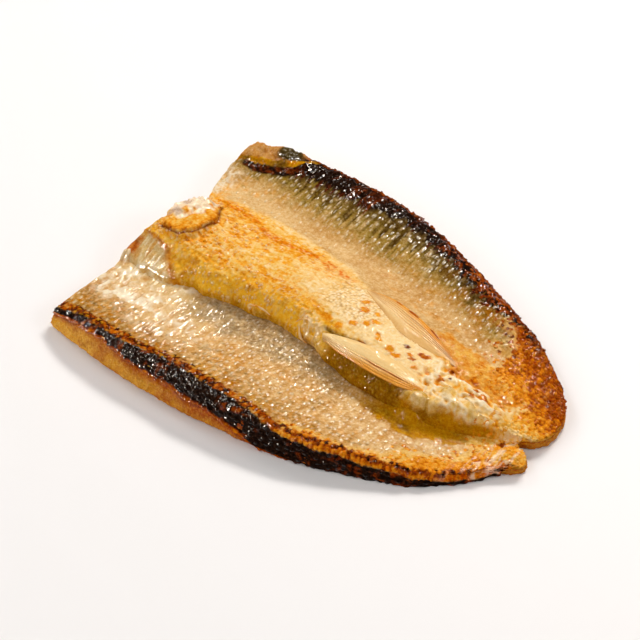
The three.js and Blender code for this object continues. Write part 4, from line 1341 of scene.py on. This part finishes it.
# The places that each curl passes, and its half thickness.
CURLS = [([(-10.2, -9.2, 12.4), (-8.4, -8.4, 14.4), (-5.2, -7.6, 15.6), (-2.4, -7.6, 15.2),
           (0.8, -7.6, 14.6)], 0.42),
         ([(-8.2, -9.8, 12.6), (-6.6, -11.4, 11.2), (-4.8, -12.4, 9.6), (-2.2, -12.2, 8.4)], 0.4),
         ([(-30.2, -14.2, 11.4), (-28.6, -13.7, 12.3), (-24.3, -12.7, 12.2), (-20.8, -12, 10.6)], 0.36)]


def cords(name, paths):
    """Closed round cords along smooth curves, as one object."""
    points, faces = [], []
    u = np.linspace(0, 1, CURL_STEPS + 1)
    angle = np.linspace(0, 2 * math.pi, CURL_SIDES, endpoint=False)
    for knots, radius in paths:
        middle = curve_point(knots, u)
        forward = np.gradient(middle, axis=0)
        forward /= np.linalg.norm(forward, axis=1, keepdims=True)
        side = np.cross(forward, [0, 0, 1.0])
        side /= np.linalg.norm(side, axis=1, keepdims=True)
        upward = np.cross(side, forward)
        thick = radius * np.sin(math.pi * (0.02 + 0.96 * u)) ** 0.5
        thick *= 1 + 0.25 * lumpy(u * 9, u * 0, radius * 100)
        ring = side[:, None] * np.cos(angle)[None, :, None] + upward[:, None] * np.sin(angle)[None, :, None]
        start = sum(len(part) for part in points)
        points.append((middle[:, None] + thick[:, None, None] * ring).reshape(-1, 3))
        points.append(middle[[0, -1]])
        first = start + (CURL_STEPS + 1) * CURL_SIDES
        last = first + 1
        for k in range(CURL_SIDES):
            following = (k + 1) % CURL_SIDES
            for i in range(CURL_STEPS):
                near, ahead = start + i * CURL_SIDES, start + (i + 1) * CURL_SIDES
                faces.append([near + k, ahead + k, ahead + following, near + following])
            faces.append([first, start + k, start + following])
            faces.append([last, last - 1 - CURL_SIDES + following, last - 1 - CURL_SIDES + k])
    return new_object(name, np.concatenate(points), faces)


root_curls = cords("fin_root_curls", CURLS)
curl_places = np.array([vertex.co for vertex in root_curls.data.vertices]) / MM
curl_tone = cloudy(curl_places[:, 0] / 1.4, curl_places[:, 1] / 1.4, 2, 73)
curl_colour = tint(CREAM, BRIGHT_GOLD, rise(-0.2, 0.6, curl_tone))
paint(root_curls, curl_colour, np.full(len(curl_tone), 0.3))
finished(root_curls, clear_fin)

# %% [markdown]
# ## Beads of fat and crumbs of crust, by Geometry Nodes
#
# Hot fat gathers at the free edge of each scale, in beads about a millimetre long. They repeat by the
# hundred and follow the surface, so they are instances on the points that carry a "bead" number. The
# tree turns each bead to the skin's normal, scales it by that number, realizes the instances and sets
# their material. The result is then kept as a plain mesh.


# %% Geometry Nodes: instances on a sheet
BALL_DETAIL = 2
LEAST_BEAD = 0.2
GROWTH_INPUTS = [("Size", "Float", 0.5 * MM), ("Size spread", "Float", 0.3), ("Spin", "Float", 0.0),
                 ("Material", "Material", None)]


def instance_tree(name, stretch):
    """A tree that puts a small round body on each chosen point of a mesh. Its inputs have names."""
    tree = bpy.data.node_groups.new(name, "GeometryNodeTree")
    tree.interface.new_socket("Geometry", in_out="INPUT", socket_type="NodeSocketGeometry")
    tree.interface.new_socket("Geometry", in_out="OUTPUT", socket_type="NodeSocketGeometry")
    inputs = []
    for label, kind, usual in GROWTH_INPUTS:
        named = tree.interface.new_socket(label, in_out="INPUT", socket_type="NodeSocket" + kind)
        if usual is not None:
            named.default_value = usual
        inputs.append(named.identifier)
    entry = add(tree, "NodeGroupInput", {}).outputs

    def worked(operation, first, second):
        return add(tree, "ShaderNodeMath", {0: first, 1: second}, operation=operation).outputs["Value"]

    # Each bead stands on the skin's normal and lies across the body, then a random spin turns it.
    normal = add(tree, "GeometryNodeInputNormal", {}).outputs["Normal"]
    upright = add(tree, "FunctionNodeAlignRotationToVector", {"Vector": normal}, axis="Z")
    crosswise = add(tree, "FunctionNodeAlignRotationToVector",
                    {"Vector": (0, 1, 0), "Rotation": upright.outputs["Rotation"]}, axis="Y", pivot_axis="Z")
    angle = add(tree, "FunctionNodeRandomValue", {"Seed": 3, 3: entry["Spin"]}, data_type="FLOAT").outputs[1]
    spun = add(tree, "FunctionNodeAxisAngleToRotation", {"Axis": (0, 0, 1), "Angle": angle})
    turn = add(tree, "FunctionNodeRotateRotation",
               {"Rotation": crosswise.outputs["Rotation"], "Rotate By": spun.outputs["Rotation"]},
               rotation_space="LOCAL")

    # Its size is the named size, times a random share, times the number on the point.
    amount = add(tree, "GeometryNodeInputNamedAttribute", {"Name": "bead"}, data_type="FLOAT")
    amount = amount.outputs["Attribute"]
    least, most = worked("SUBTRACT", 1, entry["Size spread"]), worked("ADD", 1, entry["Size spread"])
    share = add(tree, "FunctionNodeRandomValue", {"Seed": 7, 2: least, 3: most}, data_type="FLOAT").outputs[1]
    size = worked("MULTIPLY", worked("MULTIPLY", share, entry["Size"]), amount)
    shape = add(tree, "ShaderNodeVectorMath", {0: stretch, "Scale": size}, operation="SCALE")

    ball = add(tree, "GeometryNodeMeshIcoSphere", {"Subdivisions": BALL_DETAIL, "Radius": 1.0})
    scatter = add(tree, "GeometryNodeInstanceOnPoints", {
        "Points": entry["Geometry"],
        "Selection": worked("GREATER_THAN", amount, LEAST_BEAD),
        "Instance": ball.outputs["Mesh"],
        "Rotation": turn.outputs["Rotation"],
        "Scale": shape.outputs["Vector"],
    })
    real = add(tree, "GeometryNodeRealizeInstances", {"Geometry": scatter.outputs["Instances"]})
    smooth = add(tree, "GeometryNodeSetShadeSmooth", {"Geometry": real.outputs["Geometry"]})
    dress = add(tree, "GeometryNodeSetMaterial",
                {"Geometry": smooth.outputs["Geometry"], "Material": entry["Material"]})
    add(tree, "NodeGroupOutput", {"Geometry": dress.outputs["Geometry"]})
    return tree, inputs


def grown_on(name, host, amounts, tree_and_inputs, settings):
    """A piece of instances on host's outer points, chosen and sized by amounts, kept as a plain mesh."""
    tree, inputs = tree_and_inputs
    carrier = bpy.data.objects.new(name + "_carrier", host.data.copy())
    bpy.context.scene.collection.objects.link(carrier)
    values = np.zeros(len(carrier.data.vertices))
    values[:amounts.size] = amounts.ravel()
    carrier.data.attributes.new("bead", "FLOAT", "POINT").data.foreach_set("value", values)
    modifier = carrier.modifiers.new("grow", "NODES")
    modifier.node_group = tree
    for identifier, value in zip(inputs, settings):
        modifier[identifier] = value
    evaluated = carrier.evaluated_get(bpy.context.evaluated_depsgraph_get())
    mesh = bpy.data.meshes.new_from_object(evaluated)
    bpy.data.objects.remove(carrier)
    mesh.name = name
    places = np.zeros(3 * len(mesh.vertices))
    mesh.vertices.foreach_get("co", places)
    mesh.vertices.foreach_set("co", (boxed(places.reshape(-1, 3) / MM) * MM).ravel())
    mesh.update()
    thing = bpy.data.objects.new(name, mesh)
    bpy.context.scene.collection.objects.link(thing)
    hand_over(thing)
    print(f"{name}: {int((values > LEAST_BEAD).sum())} instances, {len(mesh.polygons)} triangles")


def bead_material(name, paleness, coat_ior):
    """Fat or oil that shows the skin under it, made paler by a share that is partly its own pale colour and
    partly a painted highlight, and shines on top.
    """
    material, tree, shader, stored = new_material(name)
    paler = add(tree, "ShaderNodeMix", {"Factor": paleness, "A": stored, "B": (*FAT_AND_SHEEN_CREAM, 1)},
                data_type="RGBA")
    connect(tree, shader, {"Base Color": paler.outputs["Result"], "Roughness": 0.5, "Specular IOR Level": 0.0,
                           "Coat Weight": 1.0, "Coat Roughness": 0.1, "Coat IOR": coat_ior})
    return material


BEAD_SHAPE = (0.85, 1.35, 0.26)
fat_bead = bead_material("bead of fat", 0.4, 1.9)
bead_tree = instance_tree("beads on scales", BEAD_SHAPE)
grown_on("near_fat_beads", near_skin, near_beads, bead_tree, (0.45 * MM, 0.55, 0.4, fat_bead))
grown_on("far_fat_beads", ridge_skin, far_beads, bead_tree, (0.42 * MM, 0.55, 0.4, fat_bead))

# %% [markdown]
# Crumbs of crust stand on the tail lobes and along the burnt edges. A tree of the same kind grows them,
# with a rounder body, any turn, and the skin's own colour and material.

# %% Crumbs
CRUMB_SHAPE = (1.0, 0.75, 0.6)
crumb_tree = instance_tree("crumbs of crust", CRUMB_SHAPE)


def scattered(zone, share, salt):
    """Amounts for a share of a grid's points, picked at random inside a zone from 0 to 1."""
    i, j = np.indices(zone.shape)
    return np.where(chance(i, j, salt) < share * zone, 0.5 + 0.5 * chance(j, i, salt + 1), 0)


grown_on("lobe_crumbs", ridge_skin, scattered(ridge_crumb_zone, 0.03, 91), crumb_tree,
         (0.7 * MM, 0.45, 2 * math.pi, oily_skin))
grown_on("near_crumbs", near_skin, scattered(near_crumb_zone, 0.024, 93), crumb_tree,
         (0.6 * MM, 0.45, 2 * math.pi, oily_skin))

# %% [markdown]
# On the ridge's bubbly side the oil stands in small round drops. They have no scales to line up with,
# so they are picked at random, and each one catches the lamps on its own.

# %% Drops of oil
DROP_SHAPE = (1.0, 0.8, 0.4)
oil_drop = bead_material("drop of oil", 0.3, 1.4)
drop_tree = instance_tree("drops of oil", DROP_SHAPE)
grown_on("ridge_oil_drops", ridge_skin, scattered(bubble_zone, 0.01, 95), drop_tree,
         (0.7 * MM, 0.5, 2 * math.pi, oil_drop))

# %% [markdown]
#
# The belly rests on a plain pale floor.

# %% Floor
FLOOR_HALF = 3.0
FLOOR_COLOUR, FLOOR_ROUGHNESS = (0.89, 0.86, 0.85), 0.7
floor_mesh = bpy.data.meshes.new("floor")
corners = [(-FLOOR_HALF, -FLOOR_HALF, 0), (FLOOR_HALF, -FLOOR_HALF, 0), (FLOOR_HALF, FLOOR_HALF, 0),
           (-FLOOR_HALF, FLOOR_HALF, 0)]
floor_mesh.from_pydata(corners, [], [(0, 1, 2, 3)])
floor = bpy.data.objects.new("floor", floor_mesh)
floor_material = bpy.data.materials.new("pale floor")
floor_material.use_nodes = True
connect(floor_material.node_tree, floor_material.node_tree.nodes["Principled BSDF"],
        {"Base Color": (*FLOOR_COLOUR, 1), "Roughness": FLOOR_ROUGHNESS})
floor_mesh.materials.append(floor_material)
bpy.context.scene.collection.objects.link(floor)
